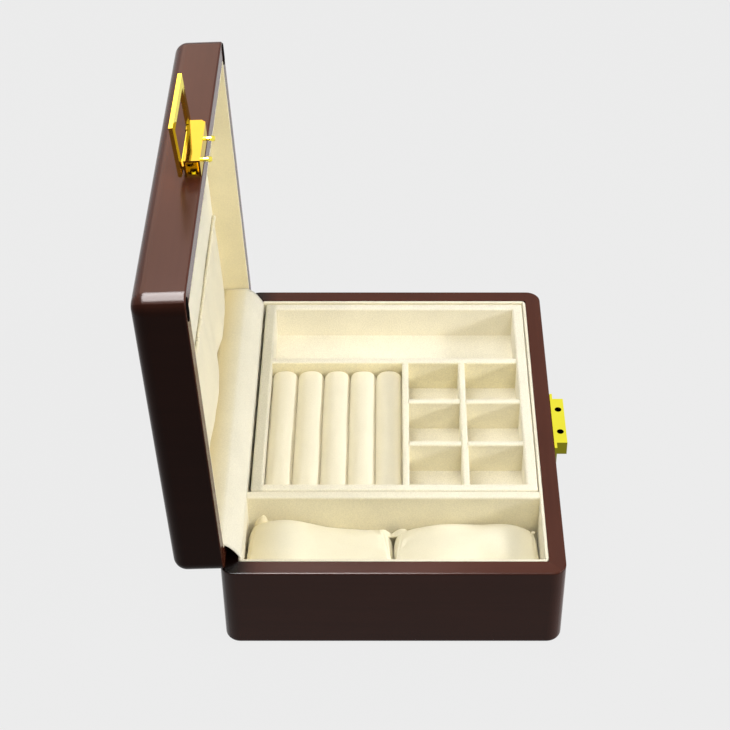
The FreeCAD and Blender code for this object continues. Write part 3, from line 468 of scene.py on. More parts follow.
# %% [markdown]
# ## How the soft pieces are made
# A stuffed piece is a skin of cloth round a filling. Each one starts here as rings of points drawn
# round its filling, and Blender's Cloth then blows the skin up a little while its seams hold it
# back, which is what pulls the sides in between the corners. A pile of smoothed boxes would be
# quicker, but it would have neither the crown nor the small dents beside the seams. How far a point
# may travel is capped, so that no skin leaves the space that the solid piece holds.

# %% Points and faces of soft pieces
LOOP_STEPS = 721


def soft_piece(name, points, faces, cloth):
    """A smooth mesh object in this cloth, from points in metres."""
    mesh = bpy.data.meshes.new(name)
    mesh.from_pydata([tuple(p) for p in points], [], faces)
    mesh.polygons.foreach_set("use_smooth", [True] * len(mesh.polygons))
    obj = bpy.data.objects.new(name, mesh)
    bpy.context.scene.collection.objects.link(obj)
    mesh.materials.append(cloth)
    return obj


def rounded_loop(count, half_width, half_height, power):
    """Evenly spaced points on a rounded square: power 2 is an ellipse, and more is squarer."""
    turn = np.linspace(0, 2 * np.pi, LOOP_STEPS)
    c, s = np.cos(turn), np.sin(turn)
    dense = np.stack([np.sign(c) * np.abs(c) ** (2 / power) * half_width,
                      np.sign(s) * np.abs(s) ** (2 / power) * half_height], axis=1)
    run = np.concatenate([[0], np.cumsum(np.linalg.norm(np.diff(dense, axis=0), axis=1))])
    wanted = np.linspace(0, run[-1], count, endpoint=False)
    return np.stack([np.interp(wanted, run, dense[:, i]) for i in range(2)], axis=1)


def tube_faces(rings, count):
    """Faces that join rings of points, and close both ends on the two points after them."""
    quads = []
    for ring in range(rings - 1):
        here, there = ring * count, (ring + 1) * count
        for i in range(count):
            beside = (i + 1) % count
            quads.append((here + i, here + beside, there + beside, there + i))
    first, last, start = rings * count, rings * count + 1, (rings - 1) * count
    ends = [(first, (i + 1) % count, i) for i in range(count)]
    ends += [(last, start + i, start + (i + 1) % count) for i in range(count)]
    return quads + ends


def ripple(points, size, depth, seed):
    """A slow random swell for each point: lumps of this size, up to this depth."""
    shift = Vector((seed, 2.3 * seed, 0.7 * seed))
    return np.array([depth * noise.noise(Vector(p) / size + shift) for p in points])


def places_of(obj):
    """The object's points as rows of numbers."""
    return np.array([v.co for v in obj.data.vertices])


def move_to(obj, places):
    """Put the object's points at these places."""
    obj.data.vertices.foreach_set("co", places.ravel())
    obj.data.update()


print("points and faces ready")

# %% Blow a skin up with Cloth
SKIN_QUALITY = 6
SKIN_MASS = 0.02


def puff(obj, held, pressure, slack, cap, frames=16, bending=0.5):
    """Blow the skin up: held keeps points in place, slack is spare cloth as a share.

    No point travels further than the cap. Gives how far the freest one wanted to go.
    """
    before = places_of(obj)
    group = obj.vertex_groups.new(name="held")
    for index, weight in enumerate(held):
        if weight > 0:
            group.add([index], float(weight), "REPLACE")
    cloth = obj.modifiers.new("cloth", "CLOTH")
    cloth.settings.quality = SKIN_QUALITY
    cloth.settings.mass = SKIN_MASS
    cloth.settings.bending_stiffness = bending
    cloth.settings.shrink_min = -slack
    cloth.settings.use_pressure = True
    cloth.settings.uniform_pressure_force = pressure
    cloth.settings.vertex_group_mass = "held"
    cloth.settings.effector_weights.gravity = 0
    cloth.collision_settings.use_collision = False
    cloth.collision_settings.use_self_collision = False
    cloth.point_cache.frame_start = 1
    cloth.point_cache.frame_end = frames
    for frame_number in range(1, frames + 1):
        bpy.context.scene.frame_set(frame_number)
    blown = obj.evaluated_get(bpy.context.evaluated_depsgraph_get())
    after = np.array([v.co for v in blown.data.vertices])
    obj.modifiers.remove(cloth)
    obj.vertex_groups.remove(group)
    bpy.context.scene.frame_set(1)
    move = after - before
    far = np.linalg.norm(move, axis=1, keepdims=True)
    move *= np.minimum(1, cap / np.maximum(far, 1e-9))
    move_to(obj, before + move)
    return float(far.max())


def kept_inside(obj, low, high):
    """Flatten the skin where it would leave this space, as walls and floor do."""
    move_to(obj, np.clip(places_of(obj), low, high))


def smoothed(obj, levels=1):
    """Subdivision, so that the skin is round between its points."""
    skin = obj.modifiers.new("smooth", "SUBSURF")
    skin.levels = levels
    skin.render_levels = levels


print("soft helpers ready")

# %% [markdown]
# ## The two pillows
# On the real box they are small stuffed pillows for watches or bracelets: a tube of cloth, filled,
# and closed with a square end panel at each end. The end seams are turned in, so they show as
# folded creases with a little pointed ear at each corner. The middle is crowned, the end panels
# bulge softly, and the sides are flat only where they lean on the walls of the bay. The two don't
# match: the back one has sunk towards the middle of the box. Each is drawn as rings along Y, whose
# tops follow a crown of a few points, because one even bulge would make both look like loaves.

# %% Set the crowns of the pillows
# each crown: (share of the length from the -Y end, height of the top in mm)
BACK_CROWN = [
    (0, 45.6), (0.14, 44.4), (0.28, 44.2), (0.42, 45.2),
    (0.56, 47.3), (0.70, 54.0), (0.84, 53.2), (1, 50.5),
]
FRONT_CROWN = [
    (0, 45.0), (0.14, 49.5), (0.28, 49.9), (0.42, 48.8),
    (0.56, 49.1), (0.70, 49.4), (0.84, 46.2), (1, 41.5),
]
# each end, -Y then +Y: (how far its top drops, how far its far top corner leans in), in mm
BACK_ENDS = ((2.5, 8.0), (0.5, 6.0))
FRONT_ENDS = ((4.5, 3.0), (-1.0, 6.0))
CROWN_STEPS = 401
CROWN_WINDOW = 21
CROWN_PASSES = 3


def eased(places, stops):
    """Heights along a line through the stops, averaged a few times to round its corners off."""
    wide = np.linspace(-0.5, 1.5, CROWN_STEPS)
    heights = np.interp(wide, *zip(*stops))
    window = np.full(CROWN_WINDOW, 1 / CROWN_WINDOW)
    for _ in range(CROWN_PASSES):
        heights = np.convolve(np.pad(heights, CROWN_WINDOW // 2, mode="edge"), window, "valid")
    return np.interp(places, wide, heights)


print("highest crowns:", [max(height for _, height in crown) for crown in (BACK_CROWN, FRONT_CROWN)], "mm")

# %% Draw the rings of a pillow
PILLOW_AROUND = 84
PILLOW_ALONG = 44
# how much closer together the rings stand near the ends
PILLOW_CROWDING = 0.35
PILLOW_SQUARE = 2.6
# rings of each end panel, as shares of the last full ring
PILLOW_CAPS = (0.30, 0.55, 0.74, 0.86, 0.93, 0.975)
END_TUCK = 1.5 * MM
END_FULL = 5
END_REACH = 20 * MM
LEAN_ACROSS = 2.2
LEAN_UPWARD = 2
SEAM_BESIDE = 0.9 * MM
BAY_GAP = 0.4 * MM


def pillow_rings(low, high, crown, ends):
    """Rings of skin from the -Y end to the +Y end, and the numbers of the two seam rings."""
    middle, half = (low + high) / 2, (high - low) / 2
    length = 2 * (half.y - END_TUCK)
    beside = SEAM_BESIDE / length
    crowded = 0.5 - 0.5 * np.cos(np.linspace(0, np.pi, PILLOW_ALONG))
    even = np.linspace(0, 1, PILLOW_ALONG)
    between = (PILLOW_CROWDING * crowded + (1 - PILLOW_CROWDING) * even)[1:-1]
    shares = np.concatenate([[0, beside], between, [1 - beside, 1]])
    tops = eased(shares, crown) * MM

    def ring(share, top, size=1.0):
        lean = 0.0
        for (drop, tilt), way, run in zip(ends, (1, -1), (share * length, (1 - share) * length)):
            near_end = max(0.0, 1 - run / END_REACH) ** 2
            top = top - drop * MM * near_end
            lean += way * tilt * MM * near_end
        tall = (top - low.z) / 2
        loop = rounded_loop(PILLOW_AROUND, half.x, tall, PILLOW_SQUARE)
        across = 0.5 + 0.5 * loop[:, 0] / half.x
        upward = 0.5 + 0.5 * loop[:, 1] / tall
        corner = across ** LEAN_ACROSS * upward ** LEAN_UPWARD
        y = middle.y - length / 2 + share * length + lean * corner
        return np.stack([middle.x + size * loop[:, 0], y, low.z + tall + size * loop[:, 1]], 1)

    def cap(share, top, size, wall):
        points = ring(share, top, size)
        full = 1 - size ** END_FULL
        points[:, 1] += full * (wall - points[:, 1])
        return points

    front = [cap(0, tops[0], size, low.y - BAY_GAP) for size in PILLOW_CAPS]
    tube = [ring(share, top) for share, top in zip(shares, tops)]
    back = [cap(1, tops[-1], size, high.y + BAY_GAP) for size in reversed(PILLOW_CAPS)]
    return front + tube + back, (len(front), len(front) + len(tube) - 1)


print("each pillow has", PILLOW_ALONG + 2 + 2 * len(PILLOW_CAPS), "rings of", PILLOW_AROUND, "points")

# %% Sink the seams and add the ears
SEAM_SINK = 0.8 * MM
# how much X counts beside Z when a seam's top corner is looked for
CORNER_SLOPE = 0.8
# each ear: (towards +X or -X, towards +Y or -Y, its root from the corner along Y, its tip from there,
# width of its root), in mm
BACK_EARS = [
    (1, 1, -2.5, (0, -1.6, 8.5), 11),
    (1, 1, -6.5, (0, -2.0, 5.0), 4),
    (1, -1, 0, (-1, -8.0, -3.0), 7),
    (-1, 1, 0, (1, -1, 1.2), 5),
    (-1, -1, 0, (1, 0.5, 1), 4),
]
FRONT_EARS = [
    (1, 1, 0, (-1, 8.0, -2.2), 8),
    (1, -1, 0, (-2, -1.5, 2.6), 6),
    (-1, 1, 0, (1, -1, 1.2), 5),
    (-1, -1, 0, (1, 0.5, 1), 4),
]
EAR_AROUND = 14
EAR_STEPS = 7
# the part of an ear that lies hidden in the pillow, as a share of its tip
EAR_ROOTED = 0.35
EAR_THICKNESS = 0.26
EAR_PINCH = 0.25


def sink_seams(obj, seams):
    """Pull the end seams in all round, as stitches do. Gives their corners, by the way they face."""
    places = places_of(obj)
    corners = {}
    for end, seam in zip((-1, 1), seams):
        span = slice(seam * PILLOW_AROUND, (seam + 1) * PILLOW_AROUND)
        inward = places[span].mean(axis=0) - places[span]
        places[span] += SEAM_SINK * inward / np.linalg.norm(inward, axis=1, keepdims=True)
        for side in (-1, 1):
            reach = places[span][:, 2] + CORNER_SLOPE * side * places[span][:, 0]
            corners[side, end] = places[span][reach.argmax()]
    move_to(obj, places)
    return corners


def ear_size(share):
    """Width of an ear from its root to its tip, like a leaf: narrow, then wide, then pointed."""
    return (1 - share) ** 0.8 * min(1, 0.2 + 2.6 * share) + 0.08


def ear_points(start, reach, root):
    """Flat rings from the ear's start along its reach."""
    along = reach / np.linalg.norm(reach)
    wide = np.cross(along, (1.0, 0.2, 0) if along[2] > 0.8 else (0, 0.3, 1.0))
    wide /= np.linalg.norm(wide)
    thick = np.cross(along, wide)
    points = []
    for step in range(EAR_STEPS):
        share = step / (EAR_STEPS - 1)
        size = ear_size(share) * root
        for i in range(EAR_AROUND):
            turn = 2 * np.pi * i / EAR_AROUND
            pinch = 1 + EAR_PINCH * np.cos(2 * turn) * share
            side = wide * np.cos(turn) * size * pinch / 2
            points.append(start + reach * share + side + thick * np.sin(turn) * size * EAR_THICKNESS)
    return points


def make_ears(name, corners, ears):
    """The folded corners of the end seams: flat little cones, each leaning its own way."""
    points, faces = [], []
    tube = tube_faces(EAR_STEPS, EAR_AROUND)[:(EAR_STEPS - 1) * EAR_AROUND]
    for side, end, slide, tip, root in ears:
        tip = np.array(tip) * MM
        start = corners[side, end] - EAR_ROOTED * tip
        start[1] += slide * MM
        first = len(points)
        last = first + (EAR_STEPS - 1) * EAR_AROUND
        points += ear_points(start, (1 + EAR_ROOTED) * tip, root * MM)
        faces += [tuple(first + v for v in face) for face in tube]
        faces.append(tuple(last + i for i in range(EAR_AROUND)))
        faces.append(tuple(first + i for i in reversed(range(EAR_AROUND))))
    obj = soft_piece(name + "_ears", points, faces, pillow_cloth)
    smoothed(obj)
    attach(obj, name)
    return obj


print(len(BACK_EARS), "ears on the back pillow,", len(FRONT_EARS), "on the front one")

# %% Make the pillows
PILLOW_PRESSURE = 0.35
PILLOW_STIFFNESS = 4.0
PILLOW_SLACK = 0.01
PILLOW_PUFF = 1.3 * MM
PILLOW_HEADROOM = 1.5 * MM
PILLOW_LUMP = 22 * MM
PILLOW_LUMP_DEPTH = 0.5 * MM


def make_pillow(name, crown, ends, ears, seed):
    """A filled tube of cloth, blown up between its seams, with its ears."""
    low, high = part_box(name)
    rings, seams = pillow_rings(low, high, crown, ends)
    poles = [rings[0].mean(axis=0), rings[-1].mean(axis=0)]
    points = np.concatenate(rings + [poles])
    points[:, 2] += ripple(points, PILLOW_LUMP, PILLOW_LUMP_DEPTH, seed)
    held = np.zeros(len(points))
    for seam in seams:
        held[seam * PILLOW_AROUND:(seam + 1) * PILLOW_AROUND] = 1.0
    faces = tube_faces(len(rings), PILLOW_AROUND)
    obj = soft_piece(name + "_cushion", points, faces, pillow_cloth)
    moved = puff(obj, held, PILLOW_PRESSURE, PILLOW_SLACK, PILLOW_PUFF, bending=PILLOW_STIFFNESS)
    kept_inside(obj, low - Vector((BAY_GAP,) * 3), high + Vector((BAY_GAP, BAY_GAP, PILLOW_HEADROOM)))
    corners = sink_seams(obj, seams)
    smoothed(obj)
    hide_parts(name)
    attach(obj, name)
    make_ears(name, corners, ears)
    print(name, "cushion: cloth moved up to", round(moved / MM, 2), "mm")
    return obj


make_pillow("pillow_back", BACK_CROWN, BACK_ENDS, BACK_EARS, 3.1)
make_pillow("pillow_front", FRONT_CROWN, FRONT_ENDS, FRONT_EARS, 7.7)

# %% [markdown]
# ## The ring rolls
# Rings are pushed edge-on into the grooves between five stuffed rolls that lie side by side on the
# tray floor. Each is a foam rod in a tight sleeve of cloth, gathered at its ends, so it is nearly
# straight, pressed flat where it meets its neighbours and rounded off at each end. The rods are
# drawn a little slack and blown up like the pillows, which rounds them against each other.

# %% Make the ring rolls
ROLL_AROUND = 40
ROLL_STEP = 3.0 * MM
ROLL_END = 3.4 * MM
# rings close together where the end rounds off, as shares of that length
ROLL_END_RINGS = np.array([0.0, 0.10, 0.28, 0.55, 1.0])
ROLL_END_SIZE = 0.55
ROLL_SQUARE = 2.5
ROLL_GAP = 0.15 * MM
ROLL_PRESSURE = 4.0
ROLL_SLACK = 0.02
ROLL_PUFF = 0.5 * MM
# slow bends sideways and up: (size of a bend, how far it goes)
ROLL_SIDE_BEND = (30 * MM, 0.22 * MM)
ROLL_UP_BEND = (24 * MM, 0.30 * MM)


def roll_rings(low, high):
    """Rings of sleeve along X, smaller towards both ends."""
    middle, half = (low + high) / 2, (high - low) / 2
    ends = ROLL_END_RINGS * ROLL_END
    straight = np.arange(low.x + ROLL_END, high.x - ROLL_END, ROLL_STEP)
    rings = []
    for x in np.concatenate([low.x + ends[:-1], straight, high.x - ends[::-1]]):
        share = min(1.0, min(x - low.x, high.x - x) / ROLL_END)
        size = ROLL_END_SIZE + (1 - ROLL_END_SIZE) * math.sqrt(1 - (1 - share) ** 2)
        loop = rounded_loop(ROLL_AROUND, (half.y + ROLL_GAP) * size, half.z * size, ROLL_SQUARE)
        rings.append(np.stack([np.full(ROLL_AROUND, x), middle.y + loop[:, 0], middle.z + loop[:, 1]], 1))
    return rings


def make_roll(name, seed):
    """A foam rod in its sleeve."""
    low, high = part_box(name)
    rings = roll_rings(low, high)
    poles = [rings[0].mean(axis=0), rings[-1].mean(axis=0)]
    points = np.concatenate(rings + [poles])
    points[:, 1] += ripple(points, *ROLL_SIDE_BEND, seed)
    points[:, 2] += ripple(points, *ROLL_UP_BEND, seed + 5)
    held = np.zeros(len(points))
    held[:ROLL_AROUND] = held[-2 - ROLL_AROUND:] = 1.0
    faces = tube_faces(len(rings), ROLL_AROUND)
    obj = soft_piece(name + "_sleeve", points, faces, roll_cloth)
    puff(obj, held, ROLL_PRESSURE, ROLL_SLACK, ROLL_PUFF, frames=10)
    spare = Vector((0, ROLL_GAP, 0))
    kept_inside(obj, low - spare, high + spare + Vector((0, 0, ROLL_PUFF)))
    smoothed(obj)
    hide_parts(name)
    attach(obj, "tray")
    return obj


rolls = [make_roll(f"ring_roll_{i + 1}", 2.0 + 3.7 * i) for i in range(5)]
print(len(rolls), "ring rolls")

# %% [markdown]
# ## Inside the lid
# The lid is easiest to think about closed, lying flat on the box, so its cloth pieces are drawn
# that way and then turned with the lid to where it stands open. Heights are measured up from the
# lid's rim: the padded panel's face is the ceiling, and the pocket hangs from it. The panel is a
# card wrapped in thin foam and suede, so its face is nearly flat and its edges are rounded.

# %% Draw on the closed lid
lid_joint = next(j for j in frame["joints"] if j["name"] == "lid_hinge")
HINGE_PLACE = Vector(lid_joint["pos_m"])
OPEN_ANGLE = math.radians(92.25)
LID_RIM = 61.3 * MM


def turned(points, angle):
    """Points turned about the hinge."""
    turn = np.array(Matrix.Rotation(angle, 3, "X"))
    return (np.asarray(points) - HINGE_PLACE) @ turn.T + HINGE_PLACE


def opened(points):
    """Points of the closed lid, moved to where the lid stands open."""
    return turned(points, -OPEN_ANGLE)


def closed(points):
    """The other way: points of the open lid, laid down on the box."""
    return turned(points, OPEN_ANGLE)


def grid_faces(rows, columns, flip=False):
    """Faces of a grid of points, row after row."""
    faces = [
        (r * columns + c, r * columns + c + 1, (r + 1) * columns + c + 1, (r + 1) * columns + c)
        for r in range(rows - 1) for c in range(columns - 1)
    ]
    return [face[::-1] for face in faces] if flip else faces


def space_of(node):
    """Lowest and highest corner of a lid node, as it lies when the lid is closed."""
    places = closed(places_of(frame["nodes"][node]))
    return places.min(axis=0), places.max(axis=0)


panel_low, panel_high = space_of("lid_panel")
pocket_low, pocket_high = space_of("lid_pocket")
print("panel lies at", np.round(panel_low / MM, 1), np.round(panel_high / MM, 1))
print("pocket lies at", np.round(pocket_low / MM, 1), np.round(pocket_high / MM, 1))

# %% Make the padded panel
PANEL_COLUMNS = 64
PANEL_ROWS = 48
PANEL_EDGE = 1.6 * MM
PANEL_EDGE_STEPS = 5
PANEL_EDGE_CROWDING = 1.4
PANEL_SWELL = 0.35 * MM
# how far in from its edge the padding is full
PANEL_FULL = 12 * MM
PANEL_LUMP = 50 * MM


def panel_steps(low, high, count):
    """Even steps with a few close ones at each end, where the edge is rounded."""
    close = np.linspace(0, 1, PANEL_EDGE_STEPS + 1)[:-1] ** PANEL_EDGE_CROWDING * PANEL_EDGE
    middle = np.linspace(low + PANEL_EDGE, high - PANEL_EDGE, count)
    return np.concatenate([low + close, middle, high - close[::-1]])


def panel_height(x, y):
    """Height of the panel's face: rounded off at its edge and slightly lumpy within."""
    edge = min(x - panel_low[0], panel_high[0] - x, y - panel_low[1], panel_high[1] - y)
    share = min(1.0, edge / PANEL_EDGE)
    drop = PANEL_EDGE * (1 - math.sqrt(1 - (1 - share) ** 2))
    lump = 0.6 + noise.noise(Vector((x, y, 0)) / PANEL_LUMP)
    return panel_low[2] + drop - PANEL_SWELL * min(1.0, edge / PANEL_FULL) * lump


def grid_rim(rows, columns):
    """Numbers of the outermost points of a grid, once round."""
    rim = list(range(columns))
    rim += [row * columns + columns - 1 for row in range(1, rows)]
    rim += [(rows - 1) * columns + column for column in range(columns - 2, -1, -1)]
    return rim + [row * columns for row in range(rows - 2, 0, -1)]


def make_panel():
    """A wrapped card: face down to the box when closed, with a soft edge all round."""
    xs = panel_steps(panel_low[0], panel_high[0], PANEL_COLUMNS)
    ys = panel_steps(panel_low[1], panel_high[1], PANEL_ROWS)
    points = [(x, y, panel_height(x, y)) for y in ys for x in xs]
    faces = grid_faces(len(ys), len(xs), flip=True)
    rim = grid_rim(len(ys), len(xs))
    start, count = len(points), len(rim)
    points += [(points[i][0], points[i][1], panel_high[2]) for i in rim]
    for i in range(count):
        beside = (i + 1) % count
        faces.append((rim[i], rim[beside], start + beside, start + i))
    faces.append(tuple(start + i for i in range(count)))
    obj = soft_piece("lid_panel_padding", opened(points), faces, panel_suede)
    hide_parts("lid_panel")
    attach(obj, "lid")
    return obj


make_panel()
print("panel made")

# %% [markdown]
# ## The gathered pocket
# A strip of suede is sewn to the panel along its two ends and its foot, and a round elastic runs
# through the hem at its mouth. The elastic is shorter than the cloth, so the hem is drawn into
# tiny puckers and the pouch below it stands off the panel in broad soft waves, most at its foot,
# where the cloth rolls over against the hinge side of the lining.

# %% Shape the pouch of the pocket
# how far the foot of the pouch stands off the panel: (place along X in mm, mm off the panel)
FOOT_WAVES = [
    (-112, 1.0), (-100, 3.2), (-80, 4.0), (-60, 3.4), (-45, 4.2), (-37, 4.3), (-29, 5.2),
    (-11, 5.8), (7, 6.2), (20, 5.4), (32, 4.2), (41, 2.6), (46, 2.0), (52, 3.0),
    (62, 4.6), (75, 4.5), (87, 4.2), (98, 3.4), (108, 2.6), (112, 1.4),
]
FOOT_FAR = 500
FOOT_WINDOW = 5
MOUTH_LIFT = 2.0 * MM
# the share of the height over which the waves grow, and that from which the cloth rolls over
WAVES_FULL = 0.8
ROLL_FROM = 0.9
# gathers below the hem: distance between them, depth, slant and how fast they fade
GATHER_PITCH = 23.0 * MM
GATHER_DEPTH = 0.5 * MM
GATHER_SLANT = 2.2
GATHER_FADE = 4
CREASE_DEPTH = 0.35 * MM
CREASE_SIZE = (12 * MM, 30 * MM)
LEAST_LIFT = 0.4 * MM
FOOT_LIFT = 0.2 * MM
SEAM_LIFT = 0.1 * MM
# the share of its lift that the cloth keeps where it is sewn down, and how far that reaches
SEWN_SHARE = 0.12
SEWN_REACH = 5 * MM


def smooth_rise(value):
    """0 below 0, 1 above 1, and a smooth rise between."""
    value = np.clip(value, 0, 1)
    return value * value * (3 - 2 * value)


def foot_lifts(xs):
    """How far the foot stands off the panel at each place, with its corners rounded off."""
    stops = [(-FOOT_FAR, FOOT_WAVES[0][1])] + FOOT_WAVES + [(FOOT_FAR, FOOT_WAVES[-1][1])]
    lifts = np.interp(xs / MM, *zip(*stops)) * MM
    window = np.full(FOOT_WINDOW, 1 / FOOT_WINDOW)
    return np.convolve(np.pad(lifts, FOOT_WINDOW // 2, mode="edge"), window, "valid")


def along_pouch(share):
    """The share of the height that is reached: even at first, then slowing as the cloth rolls over."""
    if share < ROLL_FROM:
        return share
    rest = 1 - ROLL_FROM
    return ROLL_FROM + rest * math.sin(math.pi / 2 * (share - ROLL_FROM) / rest)


def pouch_lift(x, y, share, foot):
    """How far the cloth stands off the panel."""
    lift = MOUTH_LIFT + (foot - MOUTH_LIFT) * smooth_rise(share / WAVES_FULL)
    gather = math.sin(2 * math.pi * x / GATHER_PITCH + GATHER_SLANT * share)
    lift += GATHER_DEPTH * gather * math.exp(-GATHER_FADE * share)
    lift += CREASE_DEPTH * noise.noise(Vector((x / CREASE_SIZE[0], y / CREASE_SIZE[1], 0.4)))
    roll = smooth_rise((share - ROLL_FROM) / (1 - ROLL_FROM))
    return max(lift, LEAST_LIFT) * (1 - roll) + FOOT_LIFT


print("the pouch stands", FOOT_WAVES[0][1], "to", max(lift for _, lift in FOOT_WAVES), "mm off the panel")

# %% Make the pouch
POCKET_COLUMNS = 170
POCKET_ROWS = 34
POCKET_CLOTH = 0.8 * MM


def thickened(obj, thickness, offset):
    """Give a sheet its cloth's thickness: offset -1 to one side, 0 to both."""
    thick = obj.modifiers.new("cloth thickness", "SOLIDIFY")
    thick.thickness = thickness
    thick.offset = offset


def make_pouch():
    """The sheet below the hem, from the mouth to the foot."""
    x_low, x_high = pocket_low[0], pocket_high[0]
    mouth, foot = pocket_low[1], pocket_high[1]
    xs = np.linspace(x_low, x_high, POCKET_COLUMNS)
    lifts = foot_lifts(xs)
    free = smooth_rise(np.minimum(xs - x_low, x_high - xs) / SEWN_REACH)
    points = []
    for row in range(POCKET_ROWS):
        share = row / (POCKET_ROWS - 1)
        y = mouth + along_pouch(share) * (foot - mouth)
        for column, x in enumerate(xs):
            lift = pouch_lift(x, y, share, lifts[column])
            kept = SEWN_SHARE + (1 - SEWN_SHARE) * free[column]
            points.append((x, y, panel_low[2] - lift * kept - SEAM_LIFT))
    faces = grid_faces(POCKET_ROWS, POCKET_COLUMNS, flip=True)
    obj = soft_piece("lid_pocket_pouch", opened(points), faces, pocket_suede)
    thickened(obj, POCKET_CLOTH, -1)
    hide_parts("lid_pocket")
    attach(obj, "lid")
    return obj


pocket = make_pouch()
print("pouch made")

# %% Make the gathered hem
HEM_AROUND = 10
HEM_RADIUS = 1.25 * MM
HEM_STEP = 0.36 * MM
HEM_PITCH = 2.9 * MM
# how much smaller the hem is in a pucker, as a share of its radius
HEM_NOTCH = 0.6
# how far the hem stands off the panel everywhere, and how much further in a pucker
HEM_OPEN = 0.35 * MM
HEM_GAP = 1.2 * MM
# the puckers wander: over this length, by this share of the pitch, and by this much up and down
HEM_WANDER = 9 * MM
HEM_WANDER_ALONG = 0.35
HEM_WANDER_UP = 0.25 * MM
HEM_FLAT = 1.2


def make_hem():
    """The cloth casing round the elastic, drawn into puckers."""
    x_low, x_high = pocket_low[0], pocket_high[0]
    count = int((x_high - x_low) / HEM_STEP)
    points = []
    for i in range(count + 1):
        x = x_low + (x_high - x_low) * i / count
        wander = noise.noise(Vector((x / HEM_WANDER, 1.7, 0)))
        turn = 2 * math.pi * (x / HEM_PITCH + HEM_WANDER_ALONG * wander)
        notch = (0.5 + 0.5 * math.cos(turn)) ** 2
        radius = HEM_RADIUS * (1 - HEM_NOTCH * notch)
        y = pocket_low[1] + HEM_WANDER_UP * wander
        z = panel_low[2] - (radius + HEM_OPEN + HEM_GAP * notch)
        for k in range(HEM_AROUND):
            turn = 2 * math.pi * k / HEM_AROUND
            points.append((x, y + radius * HEM_FLAT * math.cos(turn), z + radius * math.sin(turn)))
    points += [points[0], points[-1]]
    faces = tube_faces(count + 1, HEM_AROUND)
    obj = soft_piece("pocket_hem", opened(points), faces, pocket_suede)
    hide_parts("pocket_elastic")
    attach(obj, "lid")
    return obj


hem = make_hem()

# %% [markdown]
# ## The cloth over the hinges
# A strip of the lining cloth is glued to the hinge side of the base and runs on over the hinge side
# of the lid, so nobody sees the hinges from inside. Open, it rises steeply from the base's rim, rolls
# over in one smooth bend and lies flat along the lid's wall. As the lid closes it is squeezed into
# the corner. It is drawn here as one sheet, as it lies with the lid open.

# %% Make the hinge cover
COVER_COLUMNS = 90
COVER_ROWS = 26
COVER_BEND_ROWS = 18
COVER_CLOTH = 0.7 * MM
# how far it reaches into the corners beyond its solid piece
COVER_SPARE = 1.7 * MM
COVER_FOOT = 0.45 * MM
# the way it leaves the base's rim
COVER_RISE = Vector((0, 4.6, 10.0)) * MM
# how far along the lid's wall it reaches, where it first lies flat, and how far off the wall
COVER_REACH = 16.5 * MM
COVER_SHOULDER = 2.0 * MM
COVER_ABOVE = 0.9 * MM
COVER_DENT = 0.3 * MM
COVER_DENT_SIZE = 30 * MM


def cover_line(foot, top):
    """The strip seen from its end: steeply up from the base's rim, then over to the lid's wall."""
    wall_ends = [(0, panel_high[1], height) for height in (LID_RIM, panel_low[2])]
    rim, deep = (Vector(place) for place in opened(wall_ends))
    wall = (deep - rim).normalized()
    shoulder = top + wall * COVER_SHOULDER + Vector((0, 0, COVER_ABOVE))
    end = shoulder + wall * (COVER_REACH - COVER_SHOULDER)
    line = []
    for row in range(COVER_BEND_ROWS):
        t = row / (COVER_BEND_ROWS - 1)
        line.append(foot * (1 - t) ** 2 + (foot + COVER_RISE) * 2 * t * (1 - t) + shoulder * t ** 2)
    flat_rows = COVER_ROWS - COVER_BEND_ROWS
    return line + [shoulder.lerp(end, (row + 1) / flat_rows) for row in range(flat_rows)]


def make_hinge_cover():
    """One sheet that bends between the base and the lid. Gives its run from rim to wall."""
    low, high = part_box("hinge_gusset")
    foot, top = Vector((0, low.y + COVER_FOOT, low.z)), Vector((0, high.y, high.z))
    line = cover_line(foot, top)
    points = []
    for step, place in enumerate(line):
        share = step / (len(line) - 1)
        for column in range(COVER_COLUMNS):
            x = (high.x + COVER_SPARE) * (2 * column / (COVER_COLUMNS - 1) - 1)
            lump = noise.noise(Vector((x / COVER_DENT_SIZE, 3 * share, 0.2)))
            dent = COVER_DENT * math.sin(math.pi * share) * lump
            points.append((x, place.y, place.z + dent))
    faces = grid_faces(len(line), COVER_COLUMNS)
    obj = soft_piece("hinge_cover", points, faces, cover_suede)
    thickened(obj, COVER_CLOTH, 0)
    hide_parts("hinge_gusset")
    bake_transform(obj)
    run = sum((b - a).length for a, b in zip(line, line[1:]))
    return run


print("hinge cover made,", round(make_hinge_cover() / MM, 1), "mm from rim to wall")

# %% [markdown]
# ## The floor and the light
# The box stands on a pale floor that runs on into an equally pale background. The floor catches
# the box's soft shadow, and whatever looks straight at it, the camera or a reflection, sees its
# own pale grey. Five lamps light it: three for the cloth and the wood's colour, and two that only
# show as reflections in the lacquer and the gold.

# %% Make the floor
BACKDROP = 0.895
FLOOR_GREY = 0.16
FLOOR_GLOW = 0.92
FLOOR_HALF = 6.0
FLOOR_SINK = 0.0004


def seen_directly(tree):
    """1 for camera, glossy and transmission rays, and 0 for the rays that carry light about."""
    path = add_node(tree, "LightPath")
    first = add_node(tree, "Math", [(0, path.outputs["Is Camera Ray"]), (1, path.outputs["Is Glossy Ray"])],
                     operation="MAXIMUM")
    both = add_node(tree, "Math", [(0, first.outputs[0]), (1, path.outputs["Is Transmission Ray"])],
                    operation="MAXIMUM")
    return both.outputs[0]


